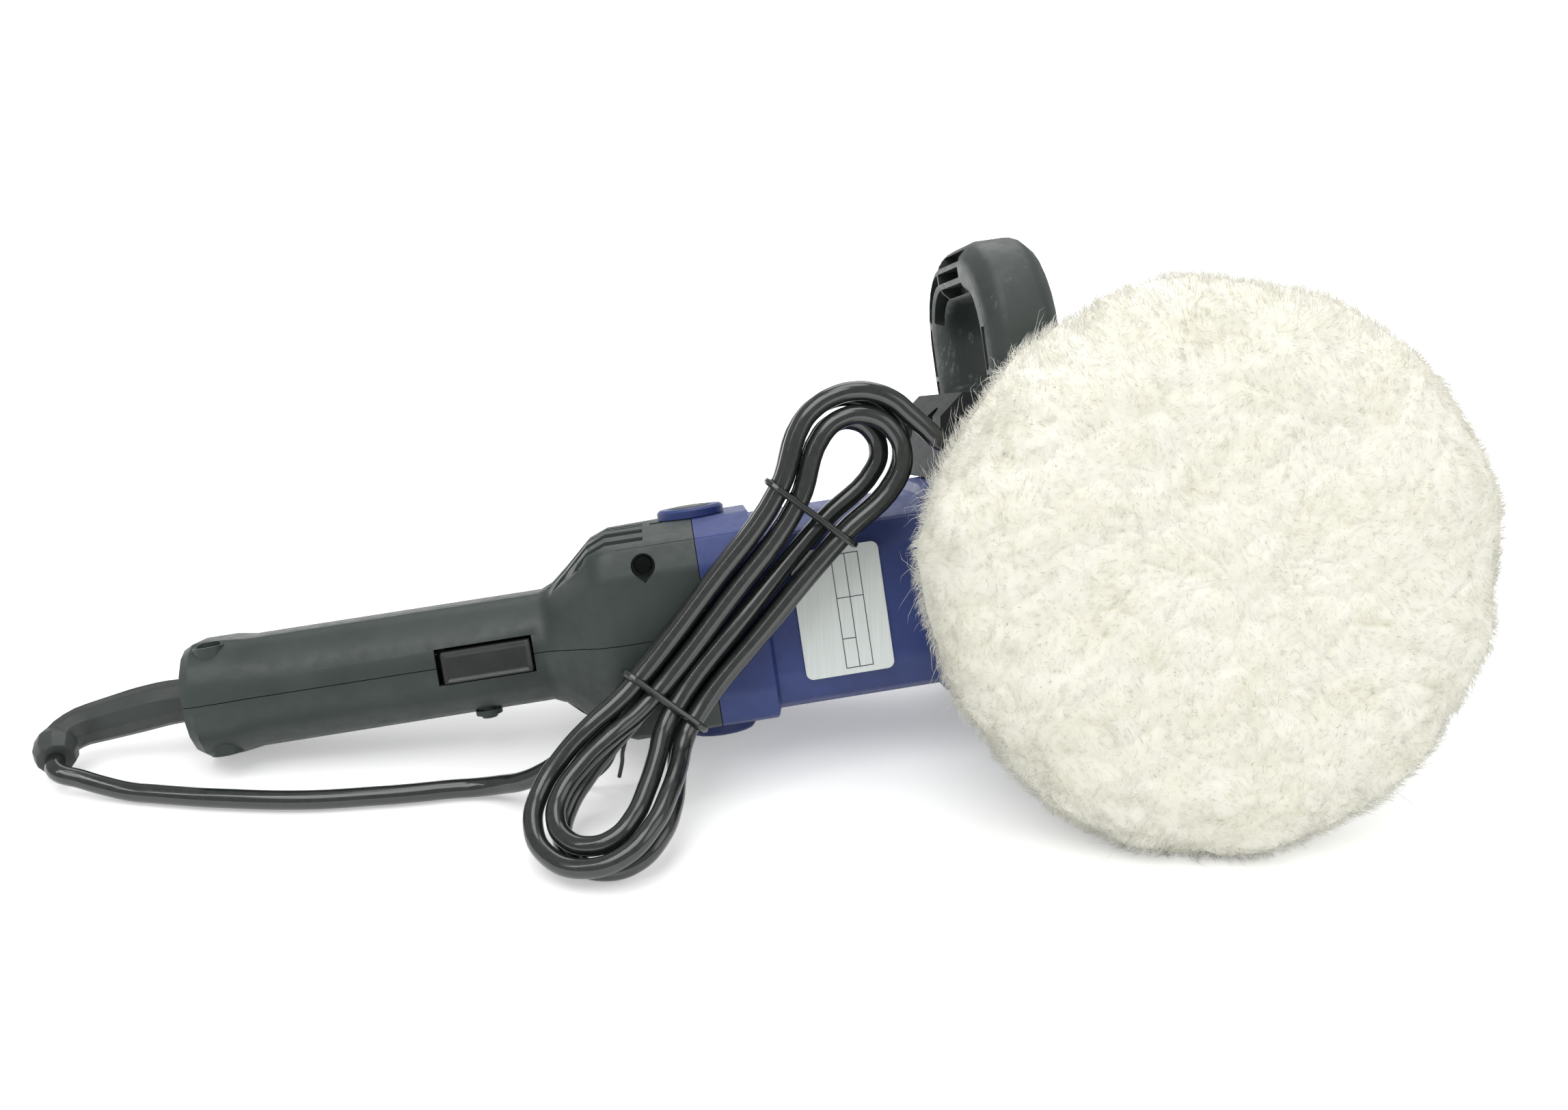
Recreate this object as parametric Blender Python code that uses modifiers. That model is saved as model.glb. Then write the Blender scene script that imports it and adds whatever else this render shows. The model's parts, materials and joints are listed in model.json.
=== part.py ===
"""A rotary polisher lying on its side, with its cord wound in a hank against the motor.

Pieces are modelled in the tool's own frame: +X along the tool to its nose, with X = 0 on the
spindle axis, +Y away from the pad, and +Z to the tool's right side, which carries the D grip.
The rest_pose empty then lays the whole tool on the floor, Z = 0.
"""

import math

import bmesh
import bpy
import numpy as np
from mathutils import Matrix, Vector

# Clearances, in metres like every size below
SEAT = 0.0003
SLIDE = 0.0007
WALL = 0.003

# Lengths along the tool, from the spindle axis back
GEAR_REACH = 0.080
MOTOR_LENGTH = 0.100
COVER_LENGTH = 0.034
SHOULDER_LENGTH = 0.030
GRIP_LENGTH = 0.138

# Cross sections
MOTOR_HALF = 0.038
MOTOR_WALL = 0.0035
COVER_HALF = 0.0415
CORNER = 0.0095
COVER_TOP_CORNER = 0.028
BAND_TOP_CORNER = 0.0155
LEAN_FROM = 0.0145
LEAN_DROP = 0.0054
LEAN_CUT_Y = 0.0041
LEAN_CUT_Z = 0.0165
BAND_LENGTH = 0.022
FLANGE_LENGTH = 0.010
GRIP_HALF_DEPTH = 0.0235
GRIP_HALF_WIDTH = 0.0212
GRIP_CORNER = 0.011
END_SWELL = 0.0011
END_BLOCK = 0.016

# Motor
ARMATURE_RADIUS = 0.020
ARMATURE_LENGTH = 0.045
AIR_GAP = 0.0006
SHAFT_RADIUS = 0.005
SHAFT_STUB_RADIUS = 0.002
COMMUTATOR_RADIUS = 0.012
COMMUTATOR_LENGTH = 0.018
FAN_RADIUS = 0.030
FAN_LENGTH = 0.010
FAN_TO_FRONT = 0.008
BALL_BEARING_WIDTH = 0.007
REAR_BEARING_RADIUS = 0.011
FRONT_BEARING_RADIUS = 0.013
BEARING_PLATE_THICKNESS = 0.0035

# Brushes, on a line across the tool where the shells meet the motor housing
BRUSH_SIZE = (0.008, 0.006, 0.018)
HOLDER_WALL = 0.0012
COLLAR_RADIUS = 0.01325
COLLAR_HEIGHT = 0.004
COLLAR_SLEEVE_WALL = 0.0023
CAP_RADIUS = 0.0084
CAP_HEIGHT = 0.0066

# Gear train
PINION_TEETH = 12
INTERMEDIATE_TEETH = 36
SPUR_MODULE = 0.0008
SPUR_WIDTH = 0.009
BEVEL_TEETH = 11
CROWN_TEETH = 37
BEVEL_MODULE = 0.00135
BEVEL_WIDTH = 0.008
LAYSHAFT_RADIUS = 0.004
LAYSHAFT_END_RADIUS = 0.0025
BUSH_WALL = 0.003
BUSH_LENGTH = 0.006
LAYSHAFT_BEARING_RADIUS = 0.011

# Gear housing
GEAR_HALF = 0.042
GEAR_WALL = 0.006
GEAR_TOP = 0.042
GEAR_BOTTOM = -0.041
GEAR_REAR_WALL = 0.016
BEARING_COVER_THICKNESS = 0.010
SIDE_BOSS_RADIUS = 0.014
SIDE_BOSS_END = 0.0585
SIDE_BOSS_X = -0.035
SIDE_BOSS_Y = 0.015
SIDE_THREAD_RADIUS = 0.004

# Spindle and pad
SPINDLE_RADIUS = 0.0075
SPINDLE_TOP_RADIUS = 0.005
CROWN_SEAT_RADIUS = 0.008
SPINDLE_NOSE_RADIUS = 0.0115
SPINDLE_NOSE_LENGTH = 0.004
THREAD_RADIUS = 0.007
THREAD_LENGTH = 0.015
LOWER_BEARING_RADIUS = 0.0175
LOWER_BEARING_WIDTH = 0.010
HUB_RADIUS = 0.020
HUB_LENGTH = 0.012
PAD_RADIUS = 0.088
PAD_THICKNESS = 0.012
WOOL_DEPTH = 0.028
WOOL_RIM = 0.012
WOOL_LIP = 0.005
WOOL_LIP_REACH = 0.022

# Spindle lock
LOCK_PIN_RADIUS = 0.003
LOCK_HEAD_RADIUS = 0.007
LOCK_HEAD_LENGTH = 0.0042
LOCK_TRAVEL = 0.0042
LOCK_DEPTH = -0.012

# D grip and its bracket, on the tool's right side
GRIP_BAR_WIDTH = 0.029
GRIP_BAR_HEIGHT = 0.022
LOOP_WIDTH = 0.112
LOOP_HEIGHT = 0.080
LOOP_TOP_RADIUS = 0.028
LOOP_FOOT_RADIUS = 0.013
LOOP_X = -0.0470
LOOP_TURN = 3.0
LOOP_Y = 0.018
BRACKET_FLOOR = 0.010
BRACKET_REAR_CHEEK = 0.0225
BRACKET_FRONT_CHEEK = 0.012
BRACKET_LOW_Y = -0.022
BRACKET_HIGH_Y = 0.060
BOLT_RADIUS = 0.003
BOLT_HEAD_RADIUS = 0.0055
BOLT_HEAD_HEIGHT = 0.004
BOLT_SPACING = 0.040
BRACKET_SCREW_RADIUS = 0.0025
BRACKET_SCREW_HEAD = 0.0045

# Trigger, lock button and speed dial
TRIGGER_LENGTH = 0.0344
TRIGGER_HALF_WIDTH = 0.0062
TRIGGER_PROUD = 0.003
TRIGGER_TRAVEL = 0.005
TRIGGER_SETBACK = 0.0215
SWITCH_LENGTH = 0.044
SWITCH_LOW_Y = -0.0045
SWITCH_HIGH_Y = 0.0105
BUTTON_RADIUS = 0.0033
BUTTON_PROUD = 0.003
BUTTON_REACH = 0.0105
BUTTON_TRAVEL = 0.003
BUTTON_X = -0.270
BUTTON_Y = -0.0092
DIAL_RADIUS = 0.0125
DIAL_HALF_WIDTH = 0.004
DIAL_PROUD = 0.002
DIAL_AXLE_RADIUS = 0.0025
DIAL_SETBACK = 0.066
SPEED_HALF_LENGTH = 0.0155
SPEED_HALF_WIDTH = 0.0105
SPEED_LOW_Y = -0.006

# Small fixings
SCREW_RADIUS = 0.0016
SCREW_HEAD_RADIUS = 0.0034
SCREW_HEAD_HEIGHT = 0.0026
SCREW_BOSS_RADIUS = 0.0065
SCREW_RECESS_RADIUS = 0.0046
SCREW_LENGTH = 0.024
COVER_SCREW_SETBACK = 0.0205
LOWER_SCREW_INSET = 0.0129
LOWER_SCREW_DEPTH = 0.0075
LUG_HALF = 0.005
CLAMP_LENGTH = 0.008
CLAMP_LOW_Y = -0.006
CLAMP_HIGH_Y = 0.010
CLAMP_HALF_WIDTH = 0.015
PLATE_SIZE = (0.034, 0.0008, 0.049)
PLATE_SETBACK = 0.022
VENT_WIDTH = 0.0024
VENT_STEP = 0.0096
VENT_COUNT = 4
VENT_MID_Y = -0.0151
VENT_LENGTH = 0.038

# Cord, its hank and its plug
CORD_RADIUS = 0.00365
CORD_PITCH = 0.0085
FLOOR_GAP = 0.0002
BOOT_NECK_RADIUS = 0.0080
BOOT_TIP_RADIUS = 0.0062
BOOT_BEAD_RADIUS = 0.0074
BOOT_INSIDE = 0.010
BOOT_RUN = 0.040
BOOT_BEND = 0.013
BOOT_BEND_ANGLE = 120
HANK_RUN_AT = (0.08, 0.16, 0.23, 0.30, 0.57, 0.84)
HANK_EYE_POINTS = 6
LOWER_EYE = 0.0110
UPPER_EYE = 0.0075
LOWER_TIE_AT = 0.300
UPPER_TIE_AT = 0.840
UPPER_EYE_FROM = 0.77
TIE_RADIUS = 0.0010
PLUG_LENGTH = 0.040
PLUG_HALF_WIDTH = 0.0175
PLUG_HALF_HEIGHT = 0.0125
PLUG_PIN_RADIUS = 0.0024
PLUG_PIN_LENGTH = 0.019
PLUG_PIN_SPACING = 0.019

# Positions that follow from the sizes
MOTOR_FRONT = -GEAR_REACH
MOTOR_REAR = MOTOR_FRONT - MOTOR_LENGTH
COVER_REAR = MOTOR_REAR - COVER_LENGTH
GRIP_FRONT = COVER_REAR - SHOULDER_LENGTH
GRIP_END = GRIP_FRONT - GRIP_LENGTH
LAYSHAFT_Y = SPUR_MODULE * (PINION_TEETH + INTERMEDIATE_TEETH) / 2 + 0.0001

TOOL = "rotary_polisher"
CUTTERS = "cutters"
ALONG = {
    "X": Matrix.Rotation(math.radians(90), 4, "Y"),
    "Y": Matrix.Rotation(math.radians(-90), 4, "X"),
    "Z": Matrix.Identity(4),
}


def clear_scene():
    for obj in list(bpy.data.objects):
        bpy.data.objects.remove(obj)
    for name in (TOOL, CUTTERS):
        group = bpy.data.collections.new(name)
        bpy.context.scene.collection.children.link(group)
    bpy.data.collections[CUTTERS].hide_render = True
    rest = bpy.data.objects.new("rest_pose", None)
    bpy.data.collections[TOOL].objects.link(rest)


def material(name, colour, roughness, metallic=0.0):
    """A Principled material, made once for each name."""
    if name in bpy.data.materials:
        return bpy.data.materials[name]
    made = bpy.data.materials.new(name)
    made.use_nodes = True
    shader = made.node_tree.nodes["Principled BSDF"]
    shader.inputs["Base Color"].default_value = (*colour, 1.0)
    shader.inputs["Roughness"].default_value = roughness
    shader.inputs["Metallic"].default_value = metallic
    return made


def black_plastic():
    return material("black_plastic", (0.030, 0.031, 0.032), 0.55)


def blue_plastic():
    return material("blue_plastic", (0.075, 0.090, 0.210), 0.50)


def steel():
    return material("steel", (0.56, 0.57, 0.58), 0.30, 1.0)


def dark_casting():
    return material("dark_casting", (0.060, 0.062, 0.066), 0.50, 0.6)


def rubber():
    return material("rubber", (0.022, 0.022, 0.023), 0.60)


def cord_rubber():
    return material("cord_rubber", (0.018, 0.018, 0.019), 0.38)


def add(name, mesh, look, matrix=None, cutter=False):
    """Puts a mesh in the scene under the rest pose, as a piece or as a cutter."""
    obj = bpy.data.objects.new(name, mesh)
    obj.parent = bpy.data.objects["rest_pose"]
    obj.matrix_local = matrix or Matrix.Identity(4)
    if cutter:
        bpy.data.collections[CUTTERS].objects.link(obj)
        obj.hide_render = True
        obj.display_type = "WIRE"
    else:
        bpy.data.collections[TOOL].objects.link(obj)
        obj.data.materials.append(look)
    return obj


def axis_matrix(axis, across, start=0.0):
    """Local +Z along a tool axis, through a point given by its other two coordinates in order."""
    point = list(across)
    point.insert("XYZ".index(axis), start)
    return Matrix.Translation(point) @ ALONG[axis]


def mesh_of(build):
    """A mesh from a function that fills a bmesh."""
    work = bmesh.new()
    build(work)
    bmesh.ops.recalc_face_normals(work, faces=work.faces)
    mesh = bpy.data.meshes.new("mesh")
    work.to_mesh(mesh)
    work.free()
    return mesh


def box(name, low, high, look=None, cutter=False):
    """A block between two corners, with its origin at its middle."""
    size = Vector(high) - Vector(low)
    middle = (Vector(high) + Vector(low)) / 2

    def build(work):
        bmesh.ops.create_cube(work, size=1.0, matrix=Matrix.Diagonal((*size, 1.0)))

    return add(name, mesh_of(build), look, Matrix.Translation(middle), cutter)


def rod(name, radius, low, high, axis, across, look=None, cutter=False, sides=16):
    """A round bar along a tool axis."""
    length = high - low

    def build(work):
        bmesh.ops.create_cone(
            work,
            cap_ends=True,
            segments=sides,
            radius1=radius,
            radius2=radius,
            depth=length,
        )

    matrix = axis_matrix(axis, across, low + length / 2)
    obj = add(name, mesh_of(build), look, matrix, cutter)
    smooth(obj)
    return obj


def smooth(obj):
    obj.data.shade_smooth()
    obj.data.set_sharp_from_angle(angle=math.radians(35))


def turned(name, profile, axis, across, look=None, cutter=False, steps=16):
    """A turned piece: its profile, (radius, place), runs from the high end down the outside.

    A profile that starts and ends on the axis stays open there, and any other is closed.
    """
    mesh = bpy.data.meshes.new(name)
    points = [(radius, 0.0, place) for radius, place in profile]
    edges = [(i, i + 1) for i in range(len(points) - 1)]
    if profile[0][0] > 0:
        edges.append((len(points) - 1, 0))
    mesh.from_pydata(points, edges, [])
    obj = add(name, mesh, look, axis_matrix(axis, across), cutter)
    turn = obj.modifiers.new("turn", "SCREW")
    turn.axis = "Z"
    turn.steps = steps
    turn.render_steps = steps
    turn.use_merge_vertices = True
    turn.merge_threshold = 0.00001
    return obj


def ring(name, inner, outer, low, high, axis, across, look, steps=16):
    profile = [(outer, high), (outer, low), (inner, low), (inner, high)]
    return turned(name, profile, axis, across, look, steps=steps)


def mesh_from_curve(curve_object):
    """The curve's evaluated surface as a mesh, with its caps welded on, and the curve removed."""
    graph = bpy.context.evaluated_depsgraph_get()
    mesh = bpy.data.meshes.new_from_object(curve_object.evaluated_get(graph))
    work = bmesh.new()
    work.from_mesh(mesh)
    bmesh.ops.remove_doubles(work, verts=work.verts, dist=0.00001)
    bmesh.ops.recalc_face_normals(work, faces=work.faces)
    work.to_mesh(mesh)
    work.free()
    bpy.data.objects.remove(curve_object)
    return mesh


def outline(name, points, low, high, axis, look=None, cutter=False):
    """A flat outline given a thickness along an axis. Points are (Y, Z), (X, Z) or (X, Y)."""
    curve = bpy.data.curves.new(name, "CURVE")
    curve.dimensions = "2D"
    curve.fill_mode = "BOTH"
    curve.extrude = (high - low) / 2
    spline = curve.splines.new("POLY")
    spline.points.add(len(points) - 1)
    spline.use_cyclic_u = True
    turn = {
        "X": Matrix(((0, 0, 1, 0), (1, 0, 0, 0), (0, 1, 0, 0), (0, 0, 0, 1))),
        "Y": Matrix(((1, 0, 0, 0), (0, 0, 1, 0), (0, -1, 0, 0), (0, 0, 0, 1))),
        "Z": Matrix.Identity(4),
    }[axis]
    upright = -1 if axis == "Y" else 1
    for point, (a, b) in zip(spline.points, points):
        point.co = (a, b * upright, 0.0, 1.0)
    drawn = bpy.data.objects.new(name, curve)
    bpy.context.scene.collection.objects.link(drawn)
    bpy.context.view_layer.update()
    mesh = mesh_from_curve(drawn)
    middle = Vector((0, 0, 0))
    middle["XYZ".index(axis)] = (low + high) / 2
    return add(name, mesh, look, Matrix.Translation(middle) @ turn, cutter)


def loft(name, rings, look=None, cutter=False, closed=False, matrix=None):
    """A skin through rings of equally many points, capped at its ends unless it closes on itself."""

    def build(work):
        rows = [[work.verts.new(point) for point in one] for one in rings]
        pairs = list(zip(rows, rows[1:]))
        if closed:
            pairs.append((rows[-1], rows[0]))
        sides = []
        for first, second in pairs:
            count = len(first)
            for i in range(count):
                j = (i + 1) % count
                sides.append(work.faces.new((first[i], first[j], second[j], second[i])))
        # A side that isn't flat is split, so that a later cut meets flat faces only.
        bmesh.ops.triangulate(work, faces=sides)
        if not closed:
            work.faces.new(rows[0])
            work.faces.new(rows[-1])

    obj = add(name, mesh_of(build), look, matrix, cutter)
    smooth(obj)
    return obj


def boolean(obj, kind, others):
    for other in others:
        step = obj.modifiers.new(other.name, "BOOLEAN")
        step.operation = kind
        step.object = other
        step.solver = "EXACT"


def cut(obj, *cutters):
    boolean(obj, "DIFFERENCE", cutters)


def fuse(obj, *others):
    boolean(obj, "UNION", others)


def section(half_y, half_z, corner, soft, top_corner=None, lean=None):
    """A section with cut corners, each eased, as (Y, Z) points.

    The two corners on the side away from the pad may be cut deeper than the other two. With a
    lean, the side faces fall away towards the pad's side: from the first distance off the middle
    they drop by the second to a crease, and a steep cut of the third and fourth meets the face.
    """
    sharp = []
    for sign_y, sign_z in ((1, 1), (-1, 1), (-1, -1), (1, -1)):
        depth = top_corner if top_corner and sign_y > 0 else corner
        near_side = (sign_y * half_y, sign_z * (half_z - depth))
        near_top = (sign_y * (half_y - depth), sign_z * half_z)
        turn = [near_side, near_top]
        if lean and sign_y < 0:
            start, drop, cut_y, cut_z = lean
            crease = (-half_y + cut_y, sign_z * (half_z - drop))
            turn = [(-half_y, sign_z * (half_z - cut_z)), crease, (-start, sign_z * half_z)]
        sharp += turn if sign_y * sign_z > 0 else reversed(turn)
    points = []
    for i, here in enumerate(sharp):
        for there in (sharp[i - 1], sharp[(i + 1) % len(sharp)]):
            away = Vector(there) - Vector(here)
            points.append(tuple(Vector(here) + away.normalized() * soft))
    return points


def section_ring(x, half_y, half_z, corner, soft, top_corner=None, lean=None):
    return [(x, y, z) for y, z in section(half_y, half_z, corner, soft, top_corner, lean)]


# Handle and rear cover, two shells that meet on the tool's middle plane

LEAN = (LEAN_FROM, LEAN_DROP, LEAN_CUT_Y, LEAN_CUT_Z)
COVER_SOFT = 0.0016
GRIP_SOFT = 0.0042
END_ROUND = 0.004
INSET_CORNER = 2 - math.sqrt(2)
SHOULDER_STEPS = ((0.0, 0.0), (0.16, 0.10), (0.42, 0.42), (0.75, 0.86), (1.0, 1.0))


def shell_rings(inset):
    """Rings from the handle's end to the motor, drawn in by a wall where asked."""
    swell = END_SWELL
    stations = [
        (GRIP_END + END_ROUND, swell, 0.0),
        (GRIP_END + END_BLOCK, swell, 0.0),
        (GRIP_END + END_BLOCK + 2 * END_ROUND, 0.0, 0.0),
    ]
    for along, share in SHOULDER_STEPS:
        stations.append((GRIP_FRONT + along * SHOULDER_LENGTH, 0.0, share))
    stations.append((MOTOR_REAR - SEAT, 0.0, 1.0))
    if inset:
        stations.append((MOTOR_REAR + WALL, 0.0, 1.0))
    else:
        stations.insert(0, (GRIP_END, swell - END_ROUND / 2, 0.0))
    rings = []
    for x, grow, share in stations:
        half_y = GRIP_HALF_DEPTH + (COVER_HALF - GRIP_HALF_DEPTH) * share + grow - inset
        half_z = GRIP_HALF_WIDTH + (COVER_HALF - GRIP_HALF_WIDTH) * share + grow - inset
        corner = GRIP_CORNER + (CORNER - GRIP_CORNER) * share - inset * INSET_CORNER
        soft = GRIP_SOFT + (COVER_SOFT - GRIP_SOFT) * share
        forward = max(0.0, (x - COVER_REAR) / COVER_LENGTH)
        deep = COVER_TOP_CORNER + (BAND_TOP_CORNER - COVER_TOP_CORNER) * forward
        top = GRIP_CORNER + (deep - GRIP_CORNER) * share - inset * INSET_CORNER
        flat_lean = (0.0, 0.0, corner, corner)
        lean = [a + (b - a) * share for a, b in zip(flat_lean, LEAN)]
        rings.append(section_ring(x, half_y, half_z, corner, min(soft, corner / 3), top, lean))
    return rings


SCREW_PLACES = {
    "rear": (GRIP_END + 0.011, -0.0135),
    "upper": (MOTOR_REAR - COVER_SCREW_SETBACK, COVER_HALF - 0.0085),
}
SCREW_BOSS_REACH = {
    "rear": GRIP_HALF_WIDTH,
    "upper": COVER_HALF - COVER_TOP_CORNER,
}
SCREW_SEATS = {
    "rear": GRIP_HALF_WIDTH - 0.008,
    "upper": COVER_HALF - COVER_TOP_CORNER - 0.003,
}

# The lower screw comes in from the pad's side and holds the right shell to the bearing plate.
LOWER_SCREW_X = MOTOR_REAR - COVER_SCREW_SETBACK
LOWER_SCREW_Z = COVER_HALF - LOWER_SCREW_INSET
LOWER_SCREW_SEAT = -COVER_HALF + LOWER_SCREW_DEPTH
LOWER_BOSS_TIP = LOWER_SCREW_SEAT + 0.0035


def shell_cutters():
    """Openings that both shells share, each a cutter."""
    trigger_front = GRIP_FRONT - TRIGGER_SETBACK + TRIGGER_LENGTH / 2 + SLIDE
    trigger_rear = trigger_front - TRIGGER_LENGTH - 2 * SLIDE
    side = TRIGGER_HALF_WIDTH + SLIDE
    dial_x = GRIP_FRONT - DIAL_SETBACK
    dial_reach = math.sqrt(DIAL_RADIUS**2 - (DIAL_RADIUS - DIAL_PROUD - WALL) ** 2) + SLIDE
    dial_side = DIAL_HALF_WIDTH + SLIDE
    cutters = [
        box(
            "trigger_opening",
            (trigger_rear, -COVER_HALF, -side),
            (trigger_front, -GRIP_HALF_DEPTH / 2, side),
            cutter=True,
        ),
        box(
            "dial_opening",
            (dial_x - dial_reach, GRIP_HALF_DEPTH / 2, -dial_side),
            (dial_x + dial_reach, COVER_HALF, dial_side),
            cutter=True,
        ),
        rod(
            "cord_opening",
            BOOT_NECK_RADIUS + SEAT,
            GRIP_END - WALL,
            GRIP_END + 4 * WALL,
            "X",
            (0, 0),
            cutter=True,
        ),
        rod(
            "brush_opening",
            SLEEVE_RADIUS + SEAT,
            -2 * COVER_HALF,
            2 * COVER_HALF,
            "Z",
            (MOTOR_REAR, 0),
            cutter=True,
        ),
        rod(
            "button_opening",
            BUTTON_RADIUS + SEAT,
            -COVER_HALF,
            -GRIP_HALF_WIDTH / 2,
            "Z",
            (BUTTON_X, BUTTON_Y),
            cutter=True,
        ),
    ]
    for which, place in SCREW_PLACES.items():
        seat = SCREW_SEATS[which]
        cutters.append(
            rod(
                f"screw_recess_{which}",
                SCREW_RECESS_RADIUS,
                seat,
                2 * COVER_HALF,
                "Z",
                place,
                cutter=True,
            )
        )
        cutters.append(
            rod(
                f"screw_hole_{which}",
                SCREW_RADIUS + SEAT,
                seat - SCREW_LENGTH - 2 * SEAT,
                seat + WALL,
                "Z",
                place,
                cutter=True,
                sides=12,
            )
        )
    cutters.append(
        rod(
            "screw_recess_lower",
            SCREW_RECESS_RADIUS,
            -2 * COVER_HALF,
            LOWER_SCREW_SEAT,
            "Y",
            (LOWER_SCREW_X, LOWER_SCREW_Z),
            cutter=True,
        )
    )
    cutters.append(
        rod(
            "screw_hole_lower",
            SCREW_RADIUS + SEAT,
            LOWER_SCREW_SEAT - WALL,
            LOWER_SCREW_SEAT + SCREW_LENGTH + WALL,
            "Y",
            (LOWER_SCREW_X, LOWER_SCREW_Z),
            cutter=True,
            sides=12,
        )
    )
    first_vent = VENT_MID_Y - VENT_STEP * (VENT_COUNT - 1) / 2
    vent_front = COVER_REAR + 0.014
    for side_name, sign in (("right", 1), ("left", -1)):
        for i in range(VENT_COUNT):
            y = first_vent + i * VENT_STEP
            near = sign * (COVER_HALF - 4 * WALL)
            far = sign * (COVER_HALF + WALL)
            cutters.append(
                box(
                    f"vent_{side_name}_{i}",
                    (vent_front - VENT_LENGTH, y - VENT_WIDTH / 2, min(near, far)),
                    (vent_front, y + VENT_WIDTH / 2, max(near, far)),
                    cutter=True,
                )
            )
    return cutters


def make_shells():
    cavity = loft("shell_cavity", shell_rings(WALL), cutter=True)
    cutters = shell_cutters()
    bosses = []
    for which, place in SCREW_PLACES.items():
        reach = SCREW_BOSS_REACH[which]
        bosses.append(
            rod(
                f"screw_boss_{which}",
                SCREW_BOSS_RADIUS if which != "rear" else SCREW_BOSS_RADIUS - 0.0005,
                -reach,
                reach,
                "Z",
                place,
                cutter=True,
                sides=16,
            )
        )
    bosses.append(
        rod(
            "screw_boss_lower",
            SCREW_BOSS_RADIUS,
            LOWER_SCREW_SEAT - WALL,
            LOWER_BOSS_TIP,
            "Y",
            (LOWER_SCREW_X, LOWER_SCREW_Z),
            cutter=True,
        )
    )
    for side, sign in (("right", 1), ("left", -1)):
        shell = loft(f"handle_{side}_shell", shell_rings(0.0), black_plastic())
        low = -SEAT / 2 if sign < 0 else -2 * COVER_HALF
        high = 2 * COVER_HALF if sign < 0 else SEAT / 2
        other_half = box(
            f"{side}_other_half",
            (GRIP_END - WALL, -2 * COVER_HALF, low),
            (MOTOR_REAR + WALL, 2 * COVER_HALF, high),
            cutter=True,
        )
        cut(shell, cavity)
        fuse(shell, *bosses)
        cut(shell, *cutters, other_half)


def make_shell_screws():
    for which, place in SCREW_PLACES.items():
        seat = SCREW_SEATS[which] + SEAT
        profile = [
            (0.0, seat + SCREW_HEAD_HEIGHT),
            (SCREW_HEAD_RADIUS, seat + SCREW_HEAD_HEIGHT),
            (SCREW_HEAD_RADIUS, seat),
            (SCREW_RADIUS, seat),
            (SCREW_RADIUS, seat - SCREW_LENGTH),
            (0.0, seat - SCREW_LENGTH),
        ]
        turned(f"shell_screw_{which}", profile, "Z", place, steel(), steps=12)
    seat = LOWER_SCREW_SEAT - SEAT
    profile = [
        (0.0, seat + SCREW_LENGTH),
        (SCREW_RADIUS, seat + SCREW_LENGTH),
        (SCREW_RADIUS, seat),
        (SCREW_HEAD_RADIUS, seat),
        (SCREW_HEAD_RADIUS, seat - SCREW_HEAD_HEIGHT),
        (0.0, seat - SCREW_HEAD_HEIGHT),
    ]
    turned("shell_screw_lower", profile, "Y", (LOWER_SCREW_X, LOWER_SCREW_Z), steel(), steps=12)


# Motor

INNER_HALF = MOTOR_HALF - MOTOR_WALL
FAN_FRONT = MOTOR_FRONT - FAN_TO_FRONT
ARMATURE_FRONT = FAN_FRONT - FAN_LENGTH - 0.007
ARMATURE_REAR = ARMATURE_FRONT - ARMATURE_LENGTH
COMMUTATOR_REAR = MOTOR_REAR - COMMUTATOR_LENGTH / 2
PLATE_FRONT = COMMUTATOR_REAR - 0.001
PLATE_REAR = PLATE_FRONT - BEARING_PLATE_THICKNESS
REAR_BEARING_FRONT = PLATE_REAR
REAR_BEARING_BACK = REAR_BEARING_FRONT - BALL_BEARING_WIDTH
REAR_SHAFT_RADIUS = SHAFT_RADIUS - 0.001
SPUR_REAR = MOTOR_FRONT + GEAR_REAR_WALL + 0.003
SPUR_FRONT = SPUR_REAR + SPUR_WIDTH


def make_motor_housing():
    corner = CORNER
    band_front = MOTOR_REAR + BAND_LENGTH
    flange_rear = MOTOR_FRONT - FLANGE_LENGTH
    step = 0.0015
    stations = [
        (MOTOR_REAR, COVER_HALF, BAND_TOP_CORNER),
        (band_front, COVER_HALF, BAND_TOP_CORNER),
        (band_front + step, MOTOR_HALF, corner),
        (flange_rear - step, MOTOR_HALF, corner),
        (flange_rear, COVER_HALF, corner),
        (MOTOR_FRONT - SEAT, COVER_HALF, corner),
    ]
    rings = []
    for x, half, top in stations:
        rings.append(section_ring(x, half, half, corner, COVER_SOFT, top, LEAN))
    housing = loft("motor_housing", rings, blue_plastic())
    inner_corner = corner - MOTOR_WALL * INSET_CORNER
    ends = (MOTOR_REAR - WALL, MOTOR_FRONT + WALL)
    inner = []
    for x in ends:
        inner.append(section_ring(x, INNER_HALF, INNER_HALF, inner_corner, COVER_SOFT, None, LEAN))
    bore = loft("motor_bore", inner, cutter=True)
    cut(housing, bore, bpy.data.objects["brush_opening"])


def make_stator():
    ring(
        "field_stator",
        ARMATURE_RADIUS + AIR_GAP,
        INNER_HALF - SEAT,
        ARMATURE_REAR,
        ARMATURE_FRONT,
        "X",
        (0, 0),
        material("laminations", (0.22, 0.20, 0.18), 0.5, 0.7),
    )


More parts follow.
